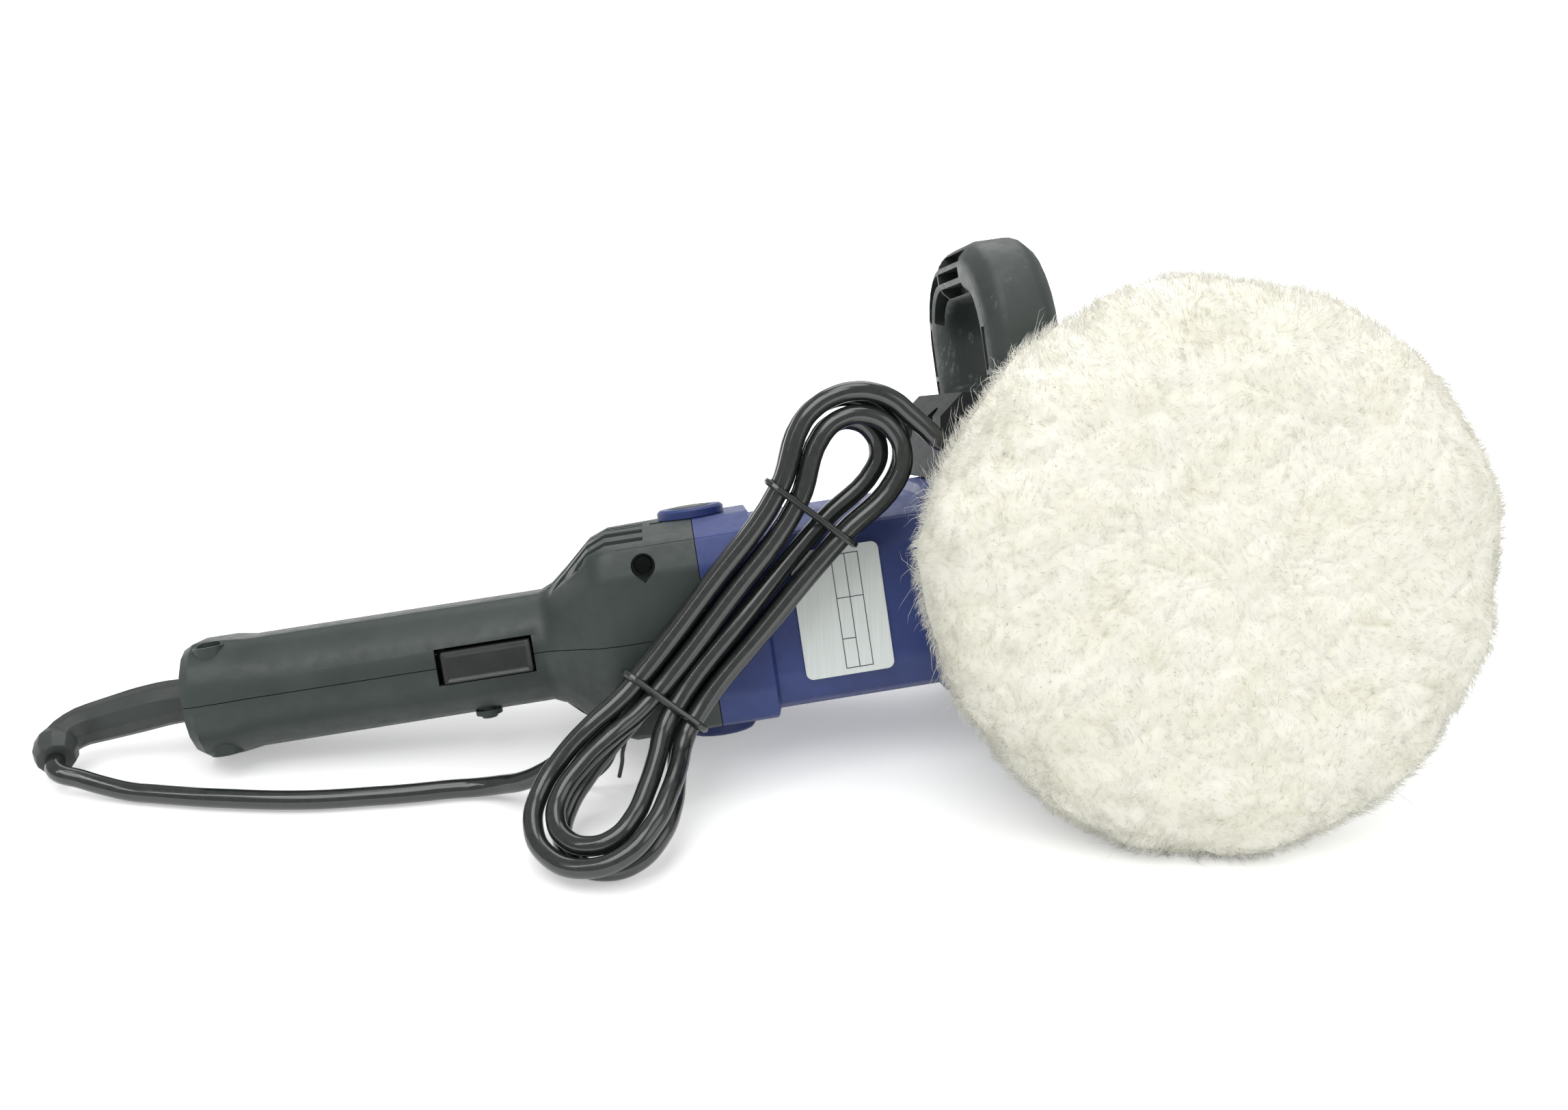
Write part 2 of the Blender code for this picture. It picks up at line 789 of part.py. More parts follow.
def make_armature():
    dark_steel = material("armature_steel", (0.30, 0.28, 0.26), 0.45, 0.8)
    copper = material("copper", (0.72, 0.39, 0.20), 0.35, 1.0)
    stub_front = SPUR_FRONT + 0.0015
    profile = [
        (0.0, stub_front),
        (SHAFT_STUB_RADIUS, stub_front),
        (SHAFT_STUB_RADIUS, SPUR_REAR - 0.001),
        (SHAFT_RADIUS, SPUR_REAR - 0.001),
        (SHAFT_RADIUS, PLATE_FRONT),
        (REAR_SHAFT_RADIUS, PLATE_FRONT),
        (REAR_SHAFT_RADIUS, REAR_BEARING_BACK - 0.001),
        (0.0, REAR_BEARING_BACK - 0.001),
    ]
    turned("armature_shaft", profile, "X", (0, 0), steel(), steps=16)
    on_shaft = SHAFT_RADIUS + SEAT
    ring(
        "armature_core",
        on_shaft,
        ARMATURE_RADIUS,
        ARMATURE_REAR,
        ARMATURE_FRONT,
        "X",
        (0, 0),
        dark_steel,
    )
    ring(
        "commutator",
        on_shaft,
        COMMUTATOR_RADIUS,
        COMMUTATOR_REAR,
        COMMUTATOR_REAR + COMMUTATOR_LENGTH,
        "X",
        (0, 0),
        copper,
    )
    make_fan(on_shaft)


def make_fan(on_shaft):
    """A hub and a back plate, with straight blades between them."""
    rear = FAN_FRONT - FAN_LENGTH
    plate = 0.002
    hub = on_shaft + 0.004
    profile = [
        (hub, FAN_FRONT),
        (hub, rear + plate),
        (FAN_RADIUS, rear + plate),
        (FAN_RADIUS, rear),
        (on_shaft, rear),
        (on_shaft, FAN_FRONT),
    ]
    fan = turned("cooling_fan", profile, "X", (0, 0), black_plastic())
    blades = 8
    for i in range(blades):
        blade = box(
            f"fan_blade_{i}",
            (rear + plate / 2, hub - 0.001, -0.0008),
            (FAN_FRONT - 0.0005, FAN_RADIUS - 0.001, 0.0008),
            cutter=True,
        )
        turn = Matrix.Rotation(2 * math.pi * i / blades, 4, "X")
        blade.matrix_basis = turn @ blade.matrix_basis
        fuse(fan, blade)


def make_motor_bearings():
    ring(
        "rear_motor_bearing",
        REAR_SHAFT_RADIUS + SEAT,
        REAR_BEARING_RADIUS,
        REAR_BEARING_BACK,
        REAR_BEARING_FRONT - SEAT,
        "X",
        (0, 0),
        steel(),
    )
    hub = REAR_BEARING_RADIUS + SEAT + 0.0025
    rim = (2 * COVER_HALF - COVER_TOP_CORNER) / math.sqrt(2) - WALL - SEAT
    profile = [
        (rim, PLATE_FRONT),
        (rim, PLATE_REAR),
        (hub, PLATE_REAR),
        (hub, REAR_BEARING_BACK),
        (REAR_BEARING_RADIUS + SEAT, REAR_BEARING_BACK),
        (REAR_BEARING_RADIUS + SEAT, PLATE_REAR),
        (SHAFT_RADIUS + SLIDE, PLATE_REAR),
        (SHAFT_RADIUS + SLIDE, PLATE_FRONT),
    ]
    plate = turned("rear_bearing_plate", profile, "X", (0, 0), black_plastic())
    window = (rim - hub) / 2 - 0.003
    middle = (rim + hub) / 2
    for i in range(4):
        angle = math.radians(45 + 90 * i)
        hole = rod(
            f"plate_window_{i}",
            window,
            PLATE_REAR - WALL,
            PLATE_FRONT + WALL,
            "X",
            (middle * math.cos(angle), middle * math.sin(angle)),
            cutter=True,
            sides=16,
        )
        cut(plate, hole)
    lug = box(
        "plate_lug",
        (LOWER_SCREW_X - LUG_HALF, LOWER_BOSS_TIP + SEAT, LOWER_SCREW_Z - LUG_HALF),
        (PLATE_FRONT - SEAT, LOWER_SCREW_SEAT + SCREW_LENGTH, LOWER_SCREW_Z + LUG_HALF),
        cutter=True,
    )
    fuse(plate, lug)
    cut(plate, bpy.data.objects["screw_hole_lower"])
    ring(
        "front_motor_bearing",
        SHAFT_RADIUS + SEAT,
        FRONT_BEARING_RADIUS,
        MOTOR_FRONT + SEAT,
        MOTOR_FRONT + SEAT + BALL_BEARING_WIDTH,
        "X",
        (0, 0),
        steel(),
    )


# Brush gear

HOLDER_HALF_X = BRUSH_SIZE[0] / 2 + SEAT + HOLDER_WALL
HOLDER_HALF_Y = BRUSH_SIZE[1] / 2 + SEAT + HOLDER_WALL
SLEEVE_BORE = math.hypot(HOLDER_HALF_X, HOLDER_HALF_Y) + SEAT
SLEEVE_RADIUS = max(SLEEVE_BORE, CAP_RADIUS + SEAT) + COLLAR_SLEEVE_WALL / 2
CAP_TOP = COVER_HALF + COLLAR_HEIGHT + 0.0004
CAP_LOW = CAP_TOP - CAP_HEIGHT


def make_brushes():
    carbon = material("carbon", (0.05, 0.05, 0.052), 0.7)
    brass = material("brass", (0.78, 0.60, 0.28), 0.3, 1.0)
    for side, sign in (("right", 1), ("left", -1)):
        collar_top = COVER_HALF + COLLAR_HEIGHT
        seat = COVER_HALF + SEAT
        ledge = CAP_LOW - SEAT
        foot = INNER_HALF
        bore = CAP_RADIUS + SEAT
        profile = [
            (COLLAR_RADIUS - 0.001, collar_top),
            (COLLAR_RADIUS, collar_top - 0.001),
            (COLLAR_RADIUS, seat),
            (SLEEVE_RADIUS, seat),
            (SLEEVE_RADIUS, foot),
            (SLEEVE_BORE, foot),
            (SLEEVE_BORE, ledge),
            (bore, ledge),
            (bore, collar_top),
        ]
        flip = Matrix.Identity(4) if sign > 0 else Matrix.Rotation(math.pi, 4, "X")
        collar = turned(f"brush_collar_{side}", profile, "Z", (MOTOR_REAR, 0), blue_plastic())
        cap = turned(
            f"brush_cap_{side}",
            [
                (0.0, CAP_TOP),
                (CAP_RADIUS - 0.0008, CAP_TOP),
                (CAP_RADIUS, CAP_TOP - 0.0008),
                (CAP_RADIUS, CAP_LOW),
                (0.0, CAP_LOW),
            ],
            "Z",
            (MOTOR_REAR, 0),
            black_plastic(),
        )
        slot = box(
            f"cap_slot_{side}",
            (MOTOR_REAR - 0.005, -0.0007, CAP_TOP - 0.0012),
            (MOTOR_REAR + 0.005, 0.0007, CAP_TOP + 0.001),
            cutter=True,
        )
        cut(cap, slot)
        low = COMMUTATOR_RADIUS + SEAT
        holder_low = low + 0.0012
        holder = box(
            f"brush_holder_{side}",
            (MOTOR_REAR - HOLDER_HALF_X, -HOLDER_HALF_Y, holder_low),
            (MOTOR_REAR + HOLDER_HALF_X, HOLDER_HALF_Y, CAP_LOW - SEAT),
            brass,
        )
        half_x = BRUSH_SIZE[0] / 2
        half_y = BRUSH_SIZE[1] / 2
        channel = box(
            f"brush_channel_{side}",
            (MOTOR_REAR - half_x - SEAT, -half_y - SEAT, 0.0),
            (MOTOR_REAR + half_x + SEAT, half_y + SEAT, COVER_HALF),
            cutter=True,
        )
        cut(holder, channel)
        brush = box(
            f"carbon_brush_{side}",
            (MOTOR_REAR - half_x, -half_y, low),
            (MOTOR_REAR + half_x, half_y, low + BRUSH_SIZE[2]),
            carbon,
        )
        for piece in (collar, cap, slot, holder, channel, brush):
            piece.matrix_basis = flip @ piece.matrix_basis


# Gears

TOOTH_SHARE = 0.20
ADDENDUM = 0.75
DEDENDUM = 1.05


def tooth_angles(count, phase):
    """For each corner round the gear: its angle and whether it lies on the tip or the root."""
    pitch = 2 * math.pi / count
    for i in range(count):
        middle = phase + i * pitch
        yield middle - 1.3 * TOOTH_SHARE * pitch, False
        yield middle - 0.6 * TOOTH_SHARE * pitch, True
        yield middle + 0.6 * TOOTH_SHARE * pitch, True
        yield middle + 1.3 * TOOTH_SHARE * pitch, False


def spur_gear(name, teeth, low, high, centre_y, bore, phase, look):
    pitch_radius = SPUR_MODULE * teeth / 2
    points = []
    for angle, tip in tooth_angles(teeth, phase):
        radius = pitch_radius + (ADDENDUM if tip else -DEDENDUM) * SPUR_MODULE
        points.append((radius * math.cos(angle), radius * math.sin(angle)))
    gear = outline(name, points, low, high, "X", look)
    gear.matrix_basis = Matrix.Translation((0, centre_y, 0)) @ gear.matrix_basis
    hole = rod(f"{name}_bore", bore, low - WALL, high + WALL, "X", (centre_y, 0), cutter=True)
    cut(gear, hole)
    return gear


def bevel_gear(name, teeth, mate_teeth, bore, back, phase, look, matrix):
    """A straight bevel gear with its apex at the local origin and its axis along local +Z."""
    radius = BEVEL_MODULE * teeth / 2
    cone = math.atan2(teeth, mate_teeth)
    reach = radius / math.sin(cone)
    rings = []
    for distance in (reach - BEVEL_WIDTH, reach):
        scale = distance / reach
        points = []
        for angle, tip in tooth_angles(teeth, phase):
            height = (ADDENDUM if tip else -DEDENDUM) * BEVEL_MODULE * scale
            r = distance * math.sin(cone) + height * math.cos(cone)
            z = distance * math.cos(cone) - height * math.sin(cone)
            points.append((r * math.cos(angle), r * math.sin(angle), z))
        rings.append(points)
    far = rings[-1]
    root = radius - DEDENDUM * BEVEL_MODULE * math.cos(cone)
    back_z = max(z for _, _, z in far) + back
    rim = []
    for x, y, _ in far:
        angle = math.atan2(y, x)
        rim.append((root * math.cos(angle), root * math.sin(angle), back_z))
    rings.append(rim)
    gear = loft(name, rings, look, matrix=matrix)
    hole = turned(
        f"{name}_bore",
        [(0.0, 2 * reach), (bore, 2 * reach), (bore, 0.0), (0.0, 0.0)],
        "Z",
        (0, 0),
        cutter=True,
        steps=16,
    )
    hole.matrix_local = matrix
    cut(gear, hole)
    return gear


BEVEL_RADIUS = BEVEL_MODULE * BEVEL_TEETH / 2
CROWN_RADIUS = BEVEL_MODULE * CROWN_TEETH / 2
CROWN_BACK = 0.0055
CROWN_LOW = LAYSHAFT_Y - BEVEL_RADIUS - DEDENDUM * BEVEL_MODULE - CROWN_BACK - 0.002
WEB_REAR = SPUR_FRONT + 0.0025
WEB_FRONT = WEB_REAR + BALL_BEARING_WIDTH + 0.001
LAY_REAR = MOTOR_FRONT + GEAR_REAR_WALL - BUSH_LENGTH


def make_gear_train():
    gear_steel = material("gear_steel", (0.45, 0.45, 0.46), 0.35, 1.0)
    spur_gear(
        "motor_pinion",
        PINION_TEETH,
        SPUR_REAR,
        SPUR_FRONT,
        0.0,
        SHAFT_STUB_RADIUS + SEAT,
        0.0,
        gear_steel,
    )
    spur_gear(
        "intermediate_gear",
        INTERMEDIATE_TEETH,
        SPUR_REAR,
        SPUR_FRONT,
        LAYSHAFT_Y,
        LAYSHAFT_RADIUS + SEAT,
        math.pi + math.pi / INTERMEDIATE_TEETH,
        gear_steel,
    )
    bevel_front = -CROWN_RADIUS + BEVEL_WIDTH
    profile = [
        (0.0, bevel_front),
        (LAYSHAFT_END_RADIUS, bevel_front),
        (LAYSHAFT_END_RADIUS, WEB_FRONT),
        (LAYSHAFT_RADIUS, WEB_FRONT),
        (LAYSHAFT_RADIUS, LAY_REAR + BUSH_LENGTH),
        (LAYSHAFT_RADIUS - 0.001, LAY_REAR + BUSH_LENGTH),
        (LAYSHAFT_RADIUS - 0.001, LAY_REAR + SEAT),
        (0.0, LAY_REAR + SEAT),
    ]
    turned("layshaft", profile, "X", (LAYSHAFT_Y, 0), steel(), steps=16)
    apex = Matrix.Translation((0, LAYSHAFT_Y, 0))
    back_along_x = Matrix.Rotation(math.radians(-90), 4, "Y")
    bevel_gear(
        "bevel_pinion",
        BEVEL_TEETH,
        CROWN_TEETH,
        LAYSHAFT_END_RADIUS + SEAT,
        0.003,
        0.0,
        gear_steel,
        apex @ back_along_x @ Matrix.Rotation(math.radians(-90), 4, "Z"),
    )
    down_along_y = Matrix.Rotation(math.radians(90), 4, "X")
    bevel_gear(
        "crown_gear",
        CROWN_TEETH,
        BEVEL_TEETH,
        CROWN_SEAT_RADIUS + SEAT,
        CROWN_BACK,
        math.pi + math.pi / CROWN_TEETH,
        gear_steel,
        apex @ down_along_y,
    )
    ring(
        "layshaft_rear_bush",
        LAYSHAFT_RADIUS - 0.001 + SEAT,
        LAYSHAFT_RADIUS - 0.001 + SEAT + BUSH_WALL,
        LAY_REAR + SEAT,
        LAY_REAR + BUSH_LENGTH - SEAT,
        "X",
        (LAYSHAFT_Y, 0),
        material("bronze", (0.62, 0.44, 0.22), 0.4, 1.0),
        steps=16,
    )
    ring(
        "layshaft_front_bearing",
        LAYSHAFT_RADIUS + SEAT,
        LAYSHAFT_BEARING_RADIUS,
        WEB_REAR + SEAT,
        WEB_FRONT - SEAT,
        "X",
        (LAYSHAFT_Y, 0),
        steel(),
    )


# Gear housing

ROOF = GEAR_TOP - GEAR_WALL
COVER_PLATE_TOP = GEAR_BOTTOM - SEAT
COVER_PLATE_LOW = COVER_PLATE_TOP - BEARING_COVER_THICKNESS
UPPER_BUSH_RADIUS = SPINDLE_TOP_RADIUS + SEAT + BUSH_WALL
UPPER_BUSH_LOW = ROOF - 0.0085
NOSE_ARC = 14


def u_outline(half, rear):
    """Straight sides from the rear and a round nose about the spindle, as (X, Z)."""
    points = [(rear, half), (rear, -half)]
    for i in range(NOSE_ARC + 1):
        angle = -math.pi / 2 + math.pi * i / NOSE_ARC
        points.append((half * math.cos(angle), half * math.sin(angle)))
    return points


def make_gear_housing():
    housing = outline(
        "gear_housing",
        u_outline(GEAR_HALF, MOTOR_FRONT),
        GEAR_BOTTOM,
        GEAR_TOP,
        "Y",
        dark_casting(),
    )
    cavity_rear = MOTOR_FRONT + GEAR_REAR_WALL
    cavity = outline(
        "gear_cavity",
        u_outline(GEAR_HALF - GEAR_WALL, cavity_rear),
        GEAR_BOTTOM - WALL,
        ROOF,
        "Y",
        cutter=True,
    )
    web = box(
        "layshaft_web",
        (WEB_REAR, LAYSHAFT_Y - LAYSHAFT_BEARING_RADIUS - WALL, -GEAR_HALF + WALL),
        (WEB_FRONT, ROOF + WALL, GEAR_HALF - WALL),
        cutter=True,
    )
    boss = rod(
        "spindle_boss",
        UPPER_BUSH_RADIUS + SEAT + WALL,
        UPPER_BUSH_LOW,
        ROOF + WALL,
        "Y",
        (0, 0),
        cutter=True,
    )
    side_boss = rod(
        "side_boss",
        SIDE_BOSS_RADIUS,
        -SIDE_BOSS_END,
        -GEAR_HALF + WALL,
        "Z",
        (SIDE_BOSS_X, SIDE_BOSS_Y),
        cutter=True,
    )
    holes = [
        rod(
            "motor_bearing_pocket",
            FRONT_BEARING_RADIUS + SEAT,
            MOTOR_FRONT - WALL,
            MOTOR_FRONT + BALL_BEARING_WIDTH + 2 * SEAT,
            "X",
            (0, 0),
            cutter=True,
        ),
        rod(
            "motor_shaft_hole",
            SHAFT_RADIUS + SLIDE,
            MOTOR_FRONT - WALL,
            cavity_rear + WALL,
            "X",
            (0, 0),
            cutter=True,
            sides=20,
        ),
        rod(
            "layshaft_bush_pocket",
            LAYSHAFT_RADIUS - 0.001 + BUSH_WALL + 2 * SEAT,
            LAY_REAR,
            cavity_rear + WALL,
            "X",
            (LAYSHAFT_Y, 0),
            cutter=True,
            sides=20,
        ),
        rod(
            "layshaft_bearing_pocket",
            LAYSHAFT_BEARING_RADIUS + SEAT,
            WEB_REAR - WALL / 2,
            WEB_FRONT + WALL,
            "X",
            (LAYSHAFT_Y, 0),
            cutter=True,
        ),
        rod(
            "upper_bush_pocket",
            UPPER_BUSH_RADIUS + SEAT,
            UPPER_BUSH_LOW - WALL,
            ROOF - SEAT,
            "Y",
            (0, 0),
            cutter=True,
            sides=20,
        ),
        rod(
            "side_thread",
            SIDE_THREAD_RADIUS,
            -SIDE_BOSS_END - WALL,
            -GEAR_HALF + WALL / 2,
            "Z",
            (SIDE_BOSS_X, SIDE_BOSS_Y),
            cutter=True,
            sides=16,
        ),
        rod(
            "lock_pin_hole",
            LOCK_PIN_RADIUS + SEAT,
            GEAR_HALF - 3 * GEAR_WALL,
            GEAR_HALF + WALL,
            "X",
            (LOCK_DEPTH, 0),
            cutter=True,
            sides=16,
        ),
    ]
    for name, y in BRACKET_SCREW_PLACES.items():
        hole = rod(
            f"{name}_hole",
            BRACKET_SCREW_RADIUS + SEAT,
            GEAR_HALF - 2 * GEAR_WALL,
            GEAR_HALF + WALL,
            "Z",
            (LOOP_X, y),
            cutter=True,
            sides=12,
        )
        swing_with_grip(hole)
        holes.append(hole)
    cut(housing, cavity)
    fuse(housing, web, boss, side_boss)
    cut(housing, *holes)
    cover = outline(
        "spindle_bearing_cover",
        u_outline(GEAR_HALF, MOTOR_FRONT),
        COVER_PLATE_LOW,
        COVER_PLATE_TOP,
        "Y",
        dark_casting(),
    )
    bearing_hole = rod(
        "lower_bearing_hole",
        LOWER_BEARING_RADIUS + SEAT,
        COVER_PLATE_LOW - WALL,
        COVER_PLATE_TOP + WALL,
        "Y",
        (0, 0),
        cutter=True,
        sides=28,
    )
    cut(cover, bearing_hole)


# Spindle, backing pad and wool bonnet

NOSE_TOP = COVER_PLATE_LOW - 0.0005
NOSE_LOW = NOSE_TOP - SPINDLE_NOSE_LENGTH
HUB_TOP = NOSE_LOW - SEAT
PAD_TOP = HUB_TOP - HUB_LENGTH
PAD_LOW = PAD_TOP - PAD_THICKNESS


def make_spindle():
    spindle = turned(
        "spindle",
        [
            (0.0, ROOF - 0.002),
            (SPINDLE_TOP_RADIUS, ROOF - 0.002),
            (SPINDLE_TOP_RADIUS, LAYSHAFT_Y - 0.001),
            (CROWN_SEAT_RADIUS, LAYSHAFT_Y - 0.001),
            (CROWN_SEAT_RADIUS, CROWN_LOW),
            (SPINDLE_RADIUS, CROWN_LOW),
            (SPINDLE_RADIUS, NOSE_TOP),
            (SPINDLE_NOSE_RADIUS, NOSE_TOP),
            (SPINDLE_NOSE_RADIUS, NOSE_LOW),
            (THREAD_RADIUS, NOSE_LOW),
            (THREAD_RADIUS, NOSE_LOW - THREAD_LENGTH),
            (0.0, NOSE_LOW - THREAD_LENGTH),
        ],
        "Y",
        (0, 0),
        steel(),
    )
    for side, sign in (("front", 1), ("rear", -1)):
        ends = (sign * (SPINDLE_RADIUS - LOCK_TRAVEL), sign * 2 * SPINDLE_RADIUS)
        lock_hole = rod(
            f"spindle_lock_hole_{side}",
            LOCK_PIN_RADIUS + 0.0005,
            min(ends),
            max(ends),
            "X",
            (LOCK_DEPTH, 0),
            cutter=True,
            sides=16,
        )
        cut(spindle, lock_hole)
    ring(
        "spindle_upper_bush",
        SPINDLE_TOP_RADIUS + SEAT,
        UPPER_BUSH_RADIUS,
        UPPER_BUSH_LOW,
        ROOF - 3 * SEAT,
        "Y",
        (0, 0),
        material("bronze", (0.62, 0.44, 0.22), 0.4, 1.0),
        steps=16,
    )
    ring(
        "spindle_lower_bearing",
        SPINDLE_RADIUS + SEAT,
        LOWER_BEARING_RADIUS,
        COVER_PLATE_LOW + 0.0005,
        COVER_PLATE_LOW + 0.0005 + LOWER_BEARING_WIDTH,
        "Y",
        (0, 0),
        steel(),
    )


def make_pad():
    bore = THREAD_RADIUS + SEAT
    bore_low = NOSE_LOW - THREAD_LENGTH - 0.002
    turned(
        "backing_pad",
        [
            (0.0, bore_low),
            (bore, bore_low),
            (bore, HUB_TOP),
            (HUB_RADIUS, HUB_TOP),
            (HUB_RADIUS + 0.003, PAD_TOP),
            (PAD_RADIUS - 0.003, PAD_TOP),
            (PAD_RADIUS, PAD_TOP - 0.003),
            (PAD_RADIUS, PAD_LOW),
            (0.0, PAD_LOW),
        ],
        "Y",
        (0, 0),
        rubber(),
        steps=32,
    )
    make_wool()


def make_wool():
    """A crowned bonnet drawn in behind the backing pad's rim."""
    inner = PAD_RADIUS + SEAT
    back = PAD_TOP + SEAT + WOOL_LIP
    face = PAD_LOW - SEAT - WOOL_DEPTH
    opening = PAD_RADIUS - WOOL_LIP_REACH
    outer = PAD_RADIUS + WOOL_RIM
    waist = (back + face) / 2
    profile = [
        (0.0, PAD_LOW - SEAT),
        (inner, PAD_LOW - SEAT),
        (inner, PAD_TOP + SEAT),
        (opening, PAD_TOP + SEAT),
        (opening, back - 0.0015),
    ]
    arc = 9
    for i in range(arc + 1):
        angle = math.pi * i / arc
        swell = math.sin(angle) ** 0.6
        level = back if i <= arc / 2 else face
        place = waist + (level - waist) * abs(math.cos(angle)) ** 0.9
        radius = opening + 0.010 + (outer - opening - 0.010) * swell
        profile.append((radius, place))
    profile += [
        (outer * 0.34, face - 0.0018),
        (0.0, face - 0.0022),
    ]
    turned(
        "wool_bonnet",
        profile,
        "Y",
        (0, 0),
        material("wool", (0.86, 0.85, 0.81), 0.95),
        steps=32,
    )


# Spindle lock in the nose

LOCK_HEAD_BACK = GEAR_HALF + LOCK_TRAVEL + 2 * SEAT


def make_spindle_lock():
    tip = SPINDLE_RADIUS + 0.001
    turned(
        "spindle_lock_button",
        [
            (0.0, LOCK_HEAD_BACK + LOCK_HEAD_LENGTH),
            (LOCK_HEAD_RADIUS - 0.001, LOCK_HEAD_BACK + LOCK_HEAD_LENGTH),
            (LOCK_HEAD_RADIUS, LOCK_HEAD_BACK + LOCK_HEAD_LENGTH - 0.001),
            (LOCK_HEAD_RADIUS, LOCK_HEAD_BACK),
            (LOCK_PIN_RADIUS, LOCK_HEAD_BACK),
            (LOCK_PIN_RADIUS, tip),
            (0.0, tip),
        ],
        "X",
        (LOCK_DEPTH, 0),
        black_plastic(),
        steps=16,
    )
    spring(
        "spindle_lock_spring",
        LOCK_PIN_RADIUS + 0.0013,
        GEAR_HALF + SEAT,
        LOCK_HEAD_BACK - SEAT,
        axis_matrix("X", (LOCK_DEPTH, 0)),
        4,
    )


def spring(name, radius, low, high, matrix, turns):
    """A coil spring along local +Z, as one tube."""
    wire = 0.0004
    per_turn = 10
    count = turns * per_turn + 1
    curve = bpy.data.curves.new(name, "CURVE")
    curve.dimensions = "3D"
    curve.bevel_depth = wire
    curve.bevel_resolution = 0
    curve.use_fill_caps = True
    spline = curve.splines.new("POLY")
    spline.points.add(count - 1)
    rise = (high - low - 2 * wire) / (count - 1)
    for i, point in enumerate(spline.points):
        angle = 2 * math.pi * i / per_turn
        place = low + wire + rise * i
        point.co = (radius * math.cos(angle), radius * math.sin(angle), place, 1.0)
    obj = add(name, curve, steel(), matrix)
    return obj


# D grip and bracket

BRACKET_LOW = GEAR_HALF + SEAT
SLOT_FLOOR = BRACKET_LOW + BRACKET_FLOOR
LOOP_LOW = SLOT_FLOOR + SEAT
LOOP_FLOOR_TOP = LOOP_LOW + GRIP_BAR_HEIGHT
LOOP_MID = LOOP_LOW + GRIP_BAR_HEIGHT / 2
SLOT_HALF = GRIP_BAR_WIDTH / 2 + SEAT
BRACKET_SCREW_PLACES = {
    "bracket_screw_near": LOOP_Y - BOLT_SPACING / 2 - 0.006,
    "bracket_screw_far": LOOP_Y + BOLT_SPACING / 2 + 0.006,
}
BOLT_PLACES = {
    "handle_bolt_near": LOOP_Y - BOLT_SPACING / 2,
    "handle_bolt_far": LOOP_Y + BOLT_SPACING / 2,
}


def swing_with_grip(*pieces):
    """Turns pieces with the D grip, whose far side lies a little to the rear."""
    middle = Matrix.Translation((LOOP_X, LOOP_Y, 0))
    swing = middle @ Matrix.Rotation(math.radians(LOOP_TURN), 4, "Z") @ middle.inverted()
    for piece in pieces:
        piece.matrix_basis = swing @ piece.matrix_basis


def loop_path():
    """Centre line of the D, as (Y, Z) points with their outward normals."""
    half = (LOOP_WIDTH - GRIP_BAR_HEIGHT) / 2
    low = LOOP_MID
    high = LOOP_LOW + LOOP_HEIGHT - GRIP_BAR_HEIGHT / 2
    corners = (
        (half, high, LOOP_TOP_RADIUS, 0, 7),
        (-half, high, LOOP_TOP_RADIUS, 90, 7),
        (-half, low, LOOP_FOOT_RADIUS, 180, 4),
        (half, low, LOOP_FOOT_RADIUS, 270, 4),
    )
    for y, z, radius, start, steps in corners:
        middle_y = y - math.copysign(radius, y)
        middle_z = z - radius if start < 180 else z + radius
        for i in range(steps + 1):
            angle = math.radians(start + 90 * i / steps)
            normal = (math.cos(angle), math.sin(angle))
            yield (
                LOOP_Y + middle_y + radius * normal[0],
                middle_z + radius * normal[1],
                normal,
            )


